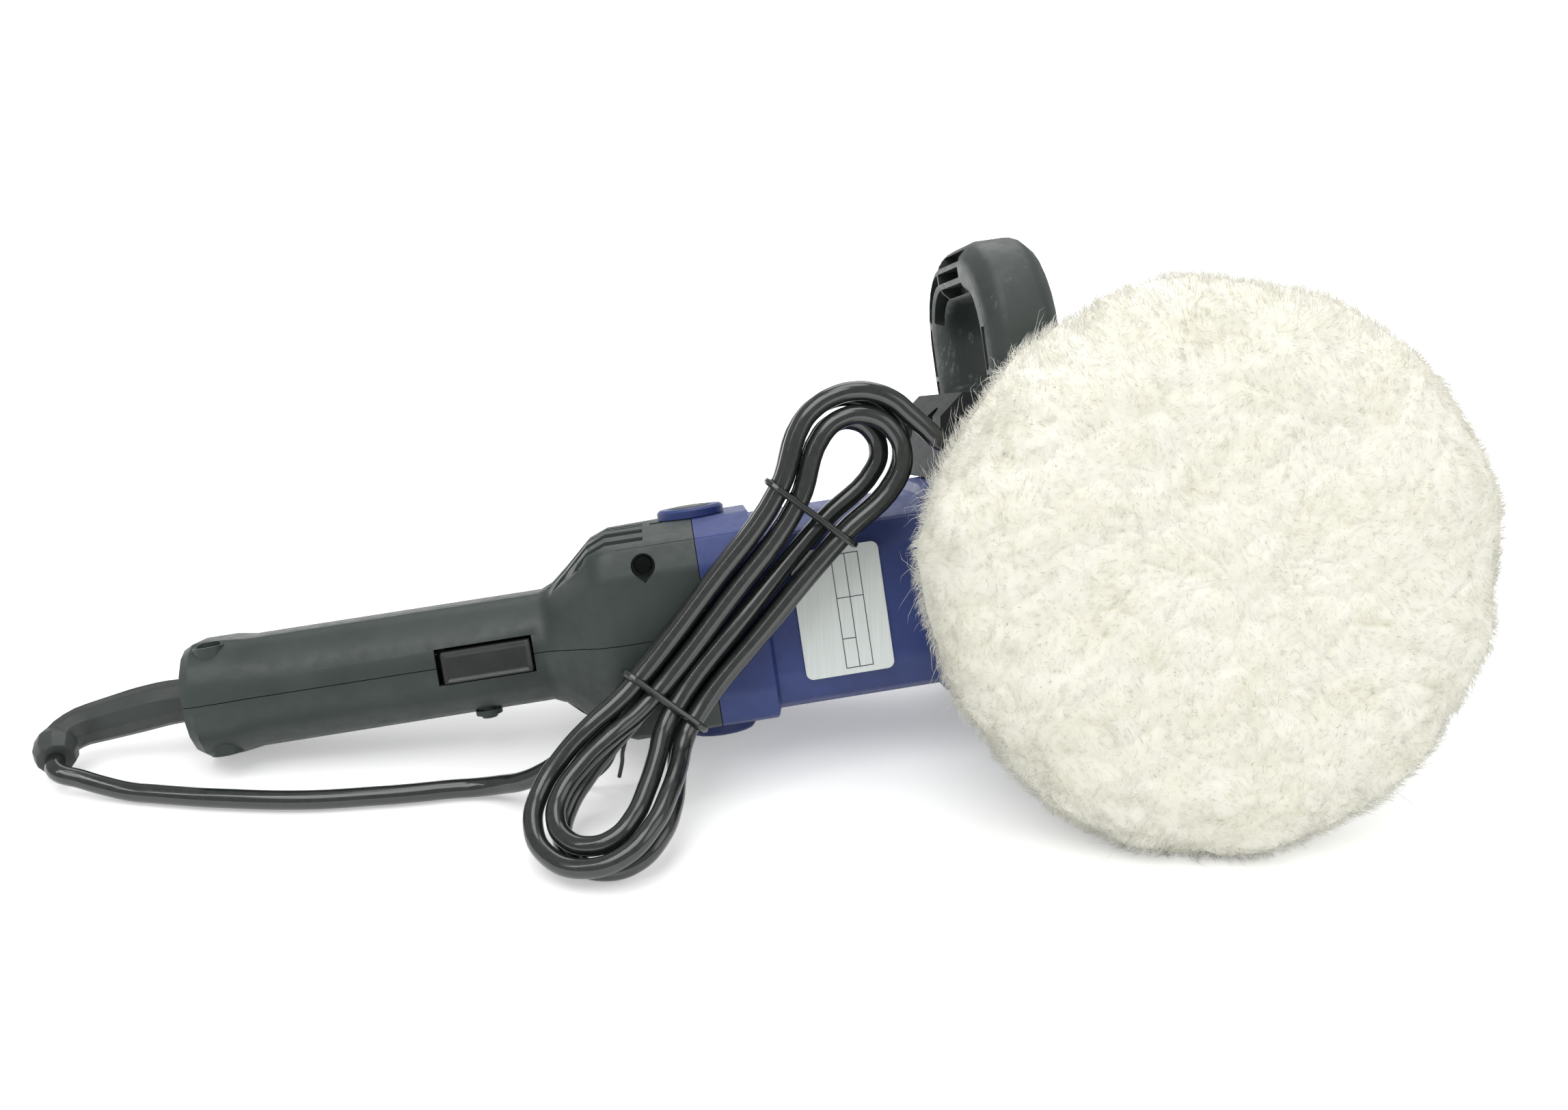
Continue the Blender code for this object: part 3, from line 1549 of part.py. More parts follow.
def make_d_grip():
    rings = []
    for y, z, normal in loop_path():
        points = []
        for out, across in section(GRIP_BAR_HEIGHT / 2, GRIP_BAR_WIDTH / 2, 0.0065, 0.002):
            points.append((LOOP_X + across, y + out * normal[0], z + out * normal[1]))
        rings.append(points)
    grip = loft("d_handle", rings, black_plastic(), closed=True)
    x_rear = LOOP_X - SLOT_HALF - BRACKET_REAR_CHEEK
    x_front = LOOP_X + SLOT_HALF + BRACKET_FRONT_CHEEK
    top = LOOP_FLOOR_TOP
    profile = [
        (x_rear, BRACKET_LOW),
        (x_rear + 0.003, top - 0.008),
        (x_rear + 0.013, top),
        (LOOP_X - SLOT_HALF, top - 0.0015),
        (LOOP_X - SLOT_HALF, SLOT_FLOOR),
        (LOOP_X + SLOT_HALF, SLOT_FLOOR),
        (LOOP_X + SLOT_HALF, top - 0.0015),
        (x_front - 0.004, top - 0.0015),
        (x_front, top - 0.007),
        (x_front, BRACKET_LOW),
    ]
    bracket = outline(
        "handle_bracket",
        profile,
        BRACKET_LOW_Y,
        BRACKET_HIGH_Y,
        "Y",
        black_plastic(),
    )
    for name, y in BOLT_PLACES.items():
        hole = rod(
            f"{name}_hole",
            BOLT_RADIUS + SEAT,
            x_rear - WALL,
            x_front + WALL,
            "X",
            (y, LOOP_MID),
            cutter=True,
            sides=16,
        )
        cut(grip, hole)
        swing_with_grip(hole)
        head_recess = rod(
            f"{name}_recess",
            BOLT_HEAD_RADIUS + SLIDE,
            x_rear - WALL,
            x_rear + 0.014,
            "X",
            (y, LOOP_MID),
            cutter=True,
            sides=16,
        )
        cut(bracket, hole, head_recess)
        seat = x_rear + 0.014 - SEAT
        end = x_front + 0.001
        bolt = turned(
            name,
            [
                (0.0, end),
                (BOLT_RADIUS, end),
                (BOLT_RADIUS, seat),
                (BOLT_HEAD_RADIUS, seat),
                (BOLT_HEAD_RADIUS, seat - BOLT_HEAD_HEIGHT),
                (0.0, seat - BOLT_HEAD_HEIGHT),
            ],
            "X",
            (y, LOOP_MID),
            steel(),
            steps=16,
        )
        swing_with_grip(head_recess, bolt)
    for name, y in BRACKET_SCREW_PLACES.items():
        hole = rod(
            f"{name}_bracket_hole",
            BRACKET_SCREW_RADIUS + SEAT,
            BRACKET_LOW - WALL,
            SLOT_FLOOR + WALL,
            "Z",
            (LOOP_X, y),
            cutter=True,
            sides=12,
        )
        head = SLOT_FLOOR - BOLT_HEAD_HEIGHT
        recess = rod(
            f"{name}_recess",
            BRACKET_SCREW_HEAD + SEAT,
            head - SEAT,
            SLOT_FLOOR + WALL,
            "Z",
            (LOOP_X, y),
            cutter=True,
            sides=16,
        )
        cut(bracket, hole, recess)
        tip = GEAR_HALF - GEAR_WALL
        screw = turned(
            name,
            [
                (0.0, SLOT_FLOOR - SEAT),
                (BRACKET_SCREW_HEAD, SLOT_FLOOR - SEAT),
                (BRACKET_SCREW_HEAD, head),
                (BRACKET_SCREW_RADIUS, head),
                (BRACKET_SCREW_RADIUS, tip),
                (0.0, tip),
            ],
            "Z",
            (LOOP_X, y),
            steel(),
            steps=14,
        )
        swing_with_grip(hole, recess, screw)
    swing_with_grip(grip, bracket)


# Trigger, switch, lock button and speed dial

TRIGGER_X = GRIP_FRONT - TRIGGER_SETBACK
TRIGGER_INNER = SWITCH_LOW_Y - TRIGGER_TRAVEL - SLIDE


def make_controls():
    box(
        "trigger",
        (TRIGGER_X - TRIGGER_LENGTH / 2, -GRIP_HALF_DEPTH - TRIGGER_PROUD, -TRIGGER_HALF_WIDTH),
        (TRIGGER_X + TRIGGER_LENGTH / 2, TRIGGER_INNER, TRIGGER_HALF_WIDTH),
        black_plastic(),
    )
    spring(
        "trigger_spring",
        0.004,
        TRIGGER_INNER + SEAT,
        SWITCH_LOW_Y - SEAT,
        axis_matrix("Y", (TRIGGER_X, 0)),
        4,
    )
    side = GRIP_HALF_WIDTH - WALL - 0.002
    box(
        "switch_block",
        (TRIGGER_X - SWITCH_LENGTH / 2, SWITCH_LOW_Y, -side),
        (TRIGGER_X + SWITCH_LENGTH / 2, SWITCH_HIGH_Y, side),
        material("switch_plastic", (0.10, 0.10, 0.11), 0.5),
    )
    outer = GRIP_HALF_WIDTH + BUTTON_PROUD
    button_tip = outer - BUTTON_REACH
    turned(
        "lock_button",
        [
            (0.0, -button_tip),
            (BUTTON_RADIUS, -button_tip),
            (BUTTON_RADIUS, -outer + 0.0006),
            (BUTTON_RADIUS - 0.0006, -outer),
            (0.0, -outer),
        ],
        "Z",
        (BUTTON_X, BUTTON_Y),
        black_plastic(),
        steps=16,
    )
    make_dial()


def make_dial():
    dial_x = GRIP_FRONT - DIAL_SETBACK
    dial_y = GRIP_HALF_DEPTH + DIAL_PROUD - DIAL_RADIUS
    axle_end = SPEED_HALF_WIDTH - SEAT
    ease = 0.0008
    turned(
        "speed_dial",
        [
            (0.0, axle_end),
            (DIAL_AXLE_RADIUS, axle_end),
            (DIAL_AXLE_RADIUS, DIAL_HALF_WIDTH),
            (DIAL_RADIUS - ease, DIAL_HALF_WIDTH),
            (DIAL_RADIUS, DIAL_HALF_WIDTH - ease),
            (DIAL_RADIUS, -DIAL_HALF_WIDTH + ease),
            (DIAL_RADIUS - ease, -DIAL_HALF_WIDTH),
            (DIAL_AXLE_RADIUS, -DIAL_HALF_WIDTH),
            (DIAL_AXLE_RADIUS, -axle_end),
            (0.0, -axle_end),
        ],
        "Z",
        (dial_x, dial_y),
        material("dial_plastic", (0.05, 0.05, 0.055), 0.5),
        steps=24,
    )
    carrier = box(
        "speed_control",
        (dial_x - SPEED_HALF_LENGTH, SPEED_LOW_Y, -SPEED_HALF_WIDTH),
        (dial_x + SPEED_HALF_LENGTH, GRIP_HALF_DEPTH - WALL - 0.002, SPEED_HALF_WIDTH),
        material("switch_plastic", (0.10, 0.10, 0.11), 0.5),
    )
    room = box(
        "dial_room",
        (dial_x - DIAL_RADIUS - SLIDE, dial_y - DIAL_RADIUS - SLIDE, -DIAL_HALF_WIDTH - SLIDE),
        (dial_x + DIAL_RADIUS + SLIDE, COVER_HALF, DIAL_HALF_WIDTH + SLIDE),
        cutter=True,
    )
    axle_hole = rod(
        "dial_axle_hole",
        DIAL_AXLE_RADIUS + SEAT,
        -COVER_HALF,
        COVER_HALF,
        "Z",
        (dial_x, dial_y),
        cutter=True,
        sides=16,
    )
    cut(carrier, room, axle_hole)


def make_plate_and_clamp():
    front = MOTOR_FRONT - FLANGE_LENGTH - PLATE_SETBACK
    face = -MOTOR_HALF - SEAT
    box(
        "rating_plate",
        (front - PLATE_SIZE[0], face - PLATE_SIZE[1], -PLATE_SIZE[2] / 2),
        (front, face, PLATE_SIZE[2] / 2),
        material("plate_silver", (0.72, 0.74, 0.74), 0.35, 0.3),
    )
    low = GRIP_END + BOOT_INSIDE + SEAT
    clamp = box(
        "cord_clamp",
        (low, CLAMP_LOW_Y, -CLAMP_HALF_WIDTH),
        (low + CLAMP_LENGTH, CLAMP_HIGH_Y, CLAMP_HALF_WIDTH),
        black_plastic(),
    )
    saddle = rod(
        "clamp_saddle",
        CORD_RADIUS + SEAT,
        low - WALL,
        low + CLAMP_LENGTH + WALL,
        "X",
        (0, 0),
        cutter=True,
    )
    cut(clamp, saddle)


# Rest pose

FEET = ("handle_left_shell", "gear_housing", "wool_bonnet")
START_PITCH = math.radians(7)
START_ROLL = math.radians(19)


def evaluated_points(obj):
    """A piece's points in the tool's frame, with its modifiers applied."""
    graph = bpy.context.evaluated_depsgraph_get()
    ready = obj.evaluated_get(graph)
    mesh = ready.to_mesh()
    points = np.empty(len(mesh.vertices) * 3, np.float32)
    mesh.vertices.foreach_get("co", points)
    ready.to_mesh_clear()
    local = np.array(obj.matrix_basis, np.float64)
    return points.reshape(-1, 3) @ local[:3, :3].T + local[:3, 3]


def tool_turn(pitch, roll):
    """Nose raised by pitch, and the pad's face turned up by roll about the tool's length."""
    return (Matrix.Rotation(-pitch, 4, "Y") @ Matrix.Rotation(-roll, 4, "X")).to_3x3()


def lay_down():
    """Lays the tool on its handle end, its side boss and the bonnet's rim, over the origin."""
    bpy.context.view_layer.update()
    feet = [evaluated_points(bpy.data.objects[name]) for name in FEET]

    def heights(pitch, roll):
        up = np.array(tool_turn(pitch, roll))[2]
        return np.array([(points @ up).min() for points in feet])

    angles = np.array([START_PITCH, START_ROLL])
    nudge = 1e-5
    for _ in range(30):
        here = heights(*angles)
        fault = here[1:] - here[0]
        slope = np.empty((2, 2))
        for i in range(2):
            moved = angles.copy()
            moved[i] += nudge
            there = heights(*moved)
            slope[:, i] = (there[1:] - there[0] - fault) / nudge
        angles = angles - np.linalg.solve(slope, fault)
    turn = tool_turn(*angles)
    rest = bpy.data.objects["rest_pose"]
    pieces = [obj for obj in bpy.data.collections[TOOL].objects if obj is not rest]
    points = np.concatenate([evaluated_points(obj) for obj in pieces]) @ np.array(turn).T
    low = points.min(axis=0)
    high = points.max(axis=0)
    shift = Vector((-(low[0] + high[0]) / 2, -(low[1] + high[1]) / 2, -low[2]))
    rest.matrix_basis = Matrix.Translation(shift) @ turn.to_4x4()
    bpy.context.view_layer.update()
    print("rest pose, degrees", [round(math.degrees(angle), 3) for angle in angles])


# Cord, laid in the world once the tool is at rest

FLOOR = CORD_RADIUS + FLOOR_GAP


def world(x, y, z):
    """A tool point in the world."""
    return bpy.data.objects["rest_pose"].matrix_basis @ Vector((x, y, z))


def world_direction(x, y, z):
    return bpy.data.objects["rest_pose"].matrix_basis.to_3x3() @ Vector((x, y, z))


def smooth_route(points, spacing):
    """Evenly spaced points on a smooth curve through the given ones."""
    route = [Vector(point) for point in points]
    ends = [2 * route[0] - route[1], 2 * route[-1] - route[-2]]
    padded = [ends[0], *route, ends[1]]
    fine = []
    for before, here, there, after in zip(padded, padded[1:], padded[2:], padded[3:]):
        span = (there - here).length
        slope_in = (there - before) * span / ((there - here).length + (here - before).length)
        slope_out = (after - here) * span / ((after - there).length + span)
        for i in range(24):
            t = i / 24
            fine.append(
                here * (2 * t**3 - 3 * t**2 + 1)
                + slope_in * (t**3 - 2 * t**2 + t)
                + there * (3 * t**2 - 2 * t**3)
                + slope_out * (t**3 - t**2)
            )
    fine.append(route[-1])
    lengths = [0.0]
    for one, two in zip(fine, fine[1:]):
        lengths.append(lengths[-1] + (two - one).length)
    count = max(2, round(lengths[-1] / spacing))
    table = np.array(fine)
    wanted = np.linspace(0, lengths[-1], count + 1)
    columns = [np.interp(wanted, lengths, table[:, axis]) for axis in range(3)]
    return [Vector(point) for point in zip(*columns)]


def on_floor(points):
    for point in points:
        point.z = max(point.z, FLOOR)
    return points


def tube(name, points, radii, look, resolution, closed=False):
    """A tube along points, with one radius or one for each point."""
    curve = bpy.data.curves.new(name, "CURVE")
    curve.dimensions = "3D"
    curve.bevel_depth = 1.0
    curve.bevel_resolution = resolution
    curve.use_fill_caps = True
    spline = curve.splines.new("POLY")
    spline.points.add(len(points) - 1)
    spline.use_cyclic_u = closed
    if not isinstance(radii, list):
        radii = [radii] * len(points)
    for slot, point, radius in zip(spline.points, points, radii):
        slot.co = (*point, 1.0)
        slot.radius = radius
    obj = bpy.data.objects.new(name, curve)
    bpy.data.collections[TOOL].objects.link(obj)
    obj.data.materials.append(look)
    return obj


def ease(t):
    t = min(1.0, max(0.0, t))
    return t * t * (3 - 2 * t)


def boot_route():
    """From inside the handle's end, out along the tool, then round towards the pad's side."""
    inner = world(GRIP_END + BOOT_INSIDE, 0, 0)
    exit_point = world(GRIP_END, 0, 0)
    back = world_direction(-1, 0, 0)
    low = FLOOR + BOOT_BEAD_RADIUS
    start = exit_point + back * (BOOT_RUN * 0.35)
    bend = exit_point + Vector((-BOOT_RUN, 0, 0))
    bend.z = max(low, exit_point.z - BOOT_RUN * 0.20)
    centre = bend - Vector((0, BOOT_BEND, 0))
    points = [inner, exit_point, start, bend]
    for share in (0.25, 0.5, 0.75, 1.0):
        angle = math.radians(BOOT_BEND_ANGLE * share)
        points.append(
            Vector(
                (
                    centre.x - BOOT_BEND * math.sin(angle),
                    centre.y + BOOT_BEND * math.cos(angle),
                    bend.z + (low - bend.z) * share,
                )
            )
        )
    return points


def make_boot():
    points = smooth_route(boot_route(), 0.0035)
    count = len(points) - 1
    radii = []
    for i in range(count + 1):
        share = i / count
        radius = BOOT_NECK_RADIUS + (BOOT_TIP_RADIUS - BOOT_NECK_RADIUS) * ease(share)
        if i >= count - 2:
            radius = BOOT_BEAD_RADIUS
        if i == count:
            radius = BOOT_BEAD_RADIUS - 0.0010
        radii.append(radius)
    tube("strain_relief", points, radii, rubber(), 3)
    end = points[-1]
    return end, (end - points[-2]).normalized()


class Hank:
    """Frames along the hank: it lies on the floor, climbs the motor's underside and stands up."""

    def __init__(self):
        mid = -(COVER_HALF + 2 * TIE_RADIUS + CORD_RADIUS + CORD_PITCH / 2 + 4 * SEAT)
        lower_tie = world(MOTOR_REAR - 0.0205, mid, -0.021)
        upper_tie = world(MOTOR_REAR + 0.0434, mid, 0.0396)
        upper_eye = world(MOTOR_REAR + 0.0605, mid, 0.0595)
        lower_eye = lower_tie + Vector((-0.0245, -0.0325, 0))
        lower_eye.z = FLOOR + 0.0131
        rise = lower_eye.lerp(lower_tie, 0.5) + Vector((-0.0010, 0.0, -0.0010))
        self.axis = smooth_route([lower_eye, rise, lower_tie, upper_tie, upper_eye], 0.001)
        self.floor_side = Vector((0.83, -0.555, 0)).normalized()
        along = (upper_eye - lower_tie).normalized()
        self.face_side = along.cross(world_direction(0, -1, 0)).normalized()

    def frame(self, s):
        """Middle, direction along, sideways and outwards at s, from 0 to 1 between the eyes."""
        place = s * (len(self.axis) - 1)
        i = min(int(place), len(self.axis) - 2)
        middle = self.axis[i].lerp(self.axis[i + 1], place - i)
        before = self.axis[max(0, i - 4)]
        after = self.axis[min(len(self.axis) - 1, i + 5)]
        along = (after - before).normalized()
        turned_up = ease(s / LOWER_TIE_AT)
        side = self.floor_side.lerp(self.face_side, turned_up)
        side = (side - along * side.dot(along)).normalized()
        return middle, along, side, side.cross(along)

    def widening(self, s):
        if s < LOWER_TIE_AT:
            return LOWER_EYE * (1 - ease(s / LOWER_TIE_AT))
        return UPPER_EYE * ease((s - UPPER_EYE_FROM) / (1 - UPPER_EYE_FROM))

    def run_point(self, s, offset, level):
        """A point on a run: offset is its signed distance from the middle at the waist."""
        middle, _, side, out = self.frame(s)
        reach = math.copysign(abs(offset) + self.widening(s), offset)
        return middle + side * reach + out * level

    def eye_points(self, s, first, second, level, count):
        """A half turn round an eye from one run to the next, ends included."""
        middle, along, side, out = self.frame(s)
        wide = self.widening(s)
        begin = math.copysign(abs(first) + wide, first)
        end = math.copysign(abs(second) + wide, second)
        radius = abs(end - begin) / 2
        away = along if s > 0.5 else -along
        points = []
        for i in range(count):
            angle = math.pi * i / (count - 1)
            across = (begin + end) / 2 + (begin - end) / 2 * math.cos(angle)
            point = middle + side * across + away * radius * math.sin(angle) + out * level
            points.append(point)
        return points


def hank_route(hank):
    """One cord: in along the left, two layers wound in and out again, away over the upper eye."""
    outer = 1.5 * CORD_PITCH
    inner = 0.5 * CORD_PITCH
    back = -CORD_PITCH / 2
    front = CORD_PITCH / 2
    runs = (
        (-outer, back, back),
        (outer, back, back),
        (-inner, back, back),
        (inner, back, front),
        (-inner, front, front),
        (outer, front, front),
        (-outer, front, front),
    )
    start = HANK_RUN_AT[2]
    route = [hank.run_point(start, runs[0][0], back)]
    for k, (offset, level, next_level) in enumerate(runs):
        upward = k % 2 == 0
        for s in HANK_RUN_AT if upward else reversed(HANK_RUN_AT):
            if k == 0 and s <= start:
                continue
            climbed = level + (next_level - level) * ease((0.9 - s) / 0.5)
            route.append(hank.run_point(s, offset, climbed))
        if k < len(runs) - 1:
            s = 1.0 if upward else 0.0
            route += hank.eye_points(s, offset, runs[k + 1][0], next_level, HANK_EYE_POINTS)
    away = outer + CORD_PITCH
    last = hank.eye_points(1.0, -outer, away, front, 2 * HANK_EYE_POINTS - 1)
    return route + last[: HANK_EYE_POINTS + 1]


def least_gap(points, radius):
    """The least distance between stretches of a tube that aren't neighbours, less its diameter."""
    fine = []
    for one, two in zip(points, points[1:]):
        count = max(1, round((two - one).length / 0.002))
        fine += [one.lerp(two, i / count) for i in range(count)]
    table = np.array(fine)
    along = np.concatenate([[0], np.cumsum(np.linalg.norm(np.diff(table, axis=0), axis=1))])
    far = np.linalg.norm(table[:, None] - table[None], axis=2)
    near_along = np.abs(along[:, None] - along[None]) < 12 * radius
    far[near_along] = 1.0
    return far.min() - 2 * radius


def make_hank(hank):
    points = hank_route(hank)
    start = points[0]
    heading_in = (points[1] - start).normalized()
    points.insert(1, start + heading_in * 2 * CORD_RADIUS)
    heading_out = (points[-1] - points[-2]).normalized()
    points.append(points[-1] + heading_out * 2 * CORD_RADIUS)
    tube("cord_hank", points, CORD_RADIUS, cord_rubber(), 1)
    gap = least_gap(points, CORD_RADIUS)
    length = sum((two - one).length for one, two in zip(points, points[1:]))
    print("hank least gap, mm", round(gap * 1000, 3), "length", round(length, 3))
    return start, heading_in, points[-1], heading_out


def make_tie(name, hank, s):
    """A thin band round the hank's waist, with rounded corners."""
    middle, _, side, out = hank.frame(s)
    clear = CORD_RADIUS + TIE_RADIUS + 2 * SEAT
    half_side = 1.5 * CORD_PITCH + hank.widening(s)
    half_out = CORD_PITCH / 2
    points = []
    for quarter, (sign_side, sign_out) in enumerate(((1, 1), (-1, 1), (-1, -1), (1, -1))):
        for i in range(4):
            angle = math.radians(90 * quarter + 30 * i)
            across = sign_side * half_side + clear * math.cos(angle)
            high = sign_out * half_out + clear * math.sin(angle)
            points.append(middle + side * across + out * high)
    tube(name, points, TIE_RADIUS, rubber(), 1, closed=True)


def make_power_cord(boot_end, boot_way, hank_start, hank_way):
    """From the boot's bead along the floor, then up to the hank's first run."""
    straight = 2 * CORD_RADIUS
    begin = boot_end + boot_way * SEAT
    end = hank_start - hank_way * SEAT
    handle = world(GRIP_END, 0, 0)
    nearest = handle.y - 0.0485
    rise_x = end.x - 0.050
    points = [begin + boot_way * straight]
    for share, depth, lift in (
        (0.11, 0.645, 0.0022),
        (0.22, 0.755, 0.0),
        (0.40, 0.90, 0.0),
        (0.60, 1.0, 0.0),
        (0.80, 1.0, 0.0),
        (1.0, 0.98, 0.0010),
    ):
        x = boot_end.x + (rise_x - boot_end.x) * share
        y = handle.y + (nearest - handle.y) * depth
        points.append(Vector((x, y, FLOOR + lift)))
    points.append(Vector((end.x - 0.030, end.y - 0.001, FLOOR + (end.z - FLOOR) * 0.27)))
    points.append(end - hank_way * straight * 1.8)
    points.append(end - hank_way * straight)
    route = [begin, *on_floor(smooth_route(points, 0.010)), end]
    tube("power_cord", route, CORD_RADIUS, cord_rubber(), 2)


def make_tail(hank_end, hank_way):
    """Over the gear housing behind the pad, round its nose and down to a plug on the floor."""
    begin = hank_end + hank_way * SEAT
    rest_y = COVER_PLATE_LOW + 0.0045
    on_top = GEAR_HALF + CORD_RADIUS + 0.0016
    straight = 2 * CORD_RADIUS
    points = [begin + hank_way * straight, begin + hank_way * straight * 1.6]
    points += [
        world(-0.068, rest_y - 0.0035, on_top + 0.0080),
        world(-0.040, rest_y - 0.0010, on_top + 0.0022),
        world(-0.010, rest_y, on_top),
    ]
    for degrees, grow in ((66, 0.0), (36, 0.0004), (6, 0.0012)):
        angle = math.radians(degrees)
        radius = on_top + grow
        points.append(world(radius * math.cos(angle), rest_y, radius * math.sin(angle)))
    drop = points[-1]
    floor_x = drop.x + 0.014
    for y, z in ((drop.y + 0.004, 0.48), (drop.y + 0.013, 0.16)):
        points.append(Vector((floor_x, y, FLOOR + (drop.z - FLOOR) * z)))
    plug_x = world(0, 0, 0).x + 0.004
    plug_y = world(0, GEAR_TOP, 0).y + 0.022
    plug_face = Vector((plug_x, plug_y, PLUG_HALF_HEIGHT + FLOOR_GAP))
    points += [
        Vector((floor_x - 0.004, drop.y + 0.045, FLOOR)),
        Vector((floor_x - 0.016, plug_y - 0.024, FLOOR)),
        Vector((floor_x - 0.040, plug_y - 0.003, FLOOR + 0.0020)),
        plug_face + Vector((2 * straight, 0, 0)),
        plug_face + Vector((straight, 0, 0)),
    ]
    route = [begin, *on_floor(smooth_route(points, 0.012)), plug_face + Vector((SEAT, 0, 0))]
    tube("cord_tail", route, CORD_RADIUS, cord_rubber(), 2)
    make_plug(plug_face)


def make_plug(face):
    """A plain two-pin plug that lies flat, pins pointing along -X, with its cord end at face."""
    stations = (
        (0.0, 0.42, 0.62),
        (0.20, 0.50, 0.70),
        (0.45, 0.80, 0.92),
        (0.62, 1.0, 1.0),
        (1.0, 1.0, 1.0),
    )
    rings = []
    for along, wide, high in stations:
        half_y = PLUG_HALF_WIDTH * wide
        half_z = PLUG_HALF_HEIGHT * high
        corner = 0.55 * min(half_y, half_z)
        rings.append(section_ring(-along * PLUG_LENGTH, half_y, half_z, corner, corner / 4))
    plug = loft("plug", rings, cord_rubber(), matrix=Matrix.Translation(face))
    plug.parent = None
    for side, sign in (("near", -1), ("far", 1)):
        pin = rod(
            f"plug_pin_{side}",
            PLUG_PIN_RADIUS,
            face.x - PLUG_LENGTH - PLUG_PIN_LENGTH,
            face.x - PLUG_LENGTH + WALL,
            "X",
            (face.y + sign * PLUG_PIN_SPACING / 2, face.z),
            cutter=True,
            sides=10,
        )
        pin.parent = None
        fuse(plug, pin)


def make_cord():
    hank = Hank()
    boot_end, boot_way = make_boot()
    hank_start, way_in, hank_end, way_out = make_hank(hank)
    make_tie("hank_tie_lower", hank, LOWER_TIE_AT)
    make_tie("hank_tie_upper", hank, UPPER_TIE_AT)
    make_power_cord(boot_end, boot_way, hank_start, way_in)
    make_tail(hank_end, way_out)


def main():
    clear_scene()
    make_shells()
    make_shell_screws()
    make_motor_housing()
    make_stator()
    make_armature()
    make_motor_bearings()
    make_brushes()
    make_gear_train()
    make_gear_housing()
    make_spindle()
    make_pad()
    make_spindle_lock()
    make_d_grip()
    make_controls()
    make_plate_and_clamp()
    lay_down()
    make_cord()


main()
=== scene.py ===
import json
import math

import bpy
import numpy as np
from mathutils import Matrix, Vector, noise


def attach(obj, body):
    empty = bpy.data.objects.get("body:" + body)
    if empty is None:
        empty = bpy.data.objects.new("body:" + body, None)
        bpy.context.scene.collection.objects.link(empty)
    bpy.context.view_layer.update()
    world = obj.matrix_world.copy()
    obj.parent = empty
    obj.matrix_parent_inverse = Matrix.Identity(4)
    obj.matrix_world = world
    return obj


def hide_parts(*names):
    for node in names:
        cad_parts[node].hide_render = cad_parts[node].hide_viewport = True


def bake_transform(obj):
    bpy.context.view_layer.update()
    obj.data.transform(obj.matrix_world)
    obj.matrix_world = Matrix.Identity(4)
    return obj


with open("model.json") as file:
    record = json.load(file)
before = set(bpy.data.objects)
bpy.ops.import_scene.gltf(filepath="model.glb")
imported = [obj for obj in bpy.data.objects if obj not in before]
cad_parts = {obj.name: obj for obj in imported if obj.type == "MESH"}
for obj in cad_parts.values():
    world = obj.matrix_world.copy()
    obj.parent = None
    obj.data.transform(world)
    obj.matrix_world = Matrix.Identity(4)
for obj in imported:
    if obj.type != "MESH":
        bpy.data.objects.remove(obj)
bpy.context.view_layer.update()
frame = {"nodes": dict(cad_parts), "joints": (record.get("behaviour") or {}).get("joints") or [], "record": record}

# Sizes in metres, in the tool's own frame unless they say floor: X towards the pad,
# Y away from the wool face, Z to the loop grip's side

CAMERA_PLACE = (-0.06903, -0.55178, 0.32822)
CAMERA_TURN = (65.917, 0.0, -6.489)
CAMERA_LENS = 36.094
CAMERA_SENSOR = 36.0

MOTOR_FRONT = -0.080
MOTOR_REAR = -0.180
COVER_REAR = -0.214
GRIP_FRONT = -0.244
GRIP_END = -0.382
COVER_HALF = 0.0415
MOTOR_HALF = 0.038
GRIP_HALF_DEPTH = 0.0235
GRIP_HALF_WIDTH = 0.0212
BAND_LENGTH = 0.022
LEAN_FROM = 0.0145
LEAN_DROP = 0.0054
LEAN_CUT_Y = 0.0041

LOOP_X = -0.047
LOOP_Y = 0.018
LOOP_TURN = 3.0
LOOP_WIDTH = 0.112
LOOP_LOW = 0.0526
LOOP_HEIGHT = 0.080
LOOP_TOP_RADIUS = 0.028
BAR_WIDTH = 0.029
BAR_HEIGHT = 0.022

WOOL_FACE = -0.1106
WOOL_BACK = -0.0628
WOOL_RADIUS = 0.0998
WOOL_INNER = 0.0883
WOOL_SEAT = -0.0806

CORD_DIAMETER = 0.0073
CORD_LIFT = 0.0006
TIE_ENDS = [
    [
        (-0.0560, -0.0340, 0.0386), (-0.0675, -0.0362, 0.0295), (-0.0714, -0.0372, 0.0200),
        (-0.0722, -0.0345, 0.0120), (-0.0735, -0.0328, 0.0050),
    ],
    [
        (-0.0575, -0.0336, 0.0398), (-0.0700, -0.0370, 0.0300), (-0.0746, -0.0398, 0.0200),
        (-0.0787, -0.0348, 0.0100), (-0.0851, -0.0327, 0.0040), (-0.0901, -0.0306, 0.0015),
    ],
]
TIE_RADIUS = 0.0008

WORLD_LIGHT = 0.52
NEAR_GLOW = 0.36
FAR_GLOW = 0.98
LAMPS = {
    "key": ((-0.40, -0.60, 1.25), (0.0, 0.0, 0.05), 0.9, 6.2),
    "fill": ((0.75, -0.70, 0.70), (0.1, 0.0, 0.06), 0.9, 2.6),
    "back": ((0.1, 1.0, 1.0), (0.0, 0.0, 0.08), 1.0, 5.0),
    "top": ((0.0, 0.1, 1.45), (0.0, 0.0, 0.05), 0.8, 4.5),
}

STRIP_PLACE = (-0.74, -0.34, 0.98)
STRIP_AIM = (-0.02, -0.03, 0.08)
STRIP_ALONG = (0.504, 0.453, 0.735)
STRIP_SIZE = (0.85, 0.045)
STRIP_POWER = 1.3

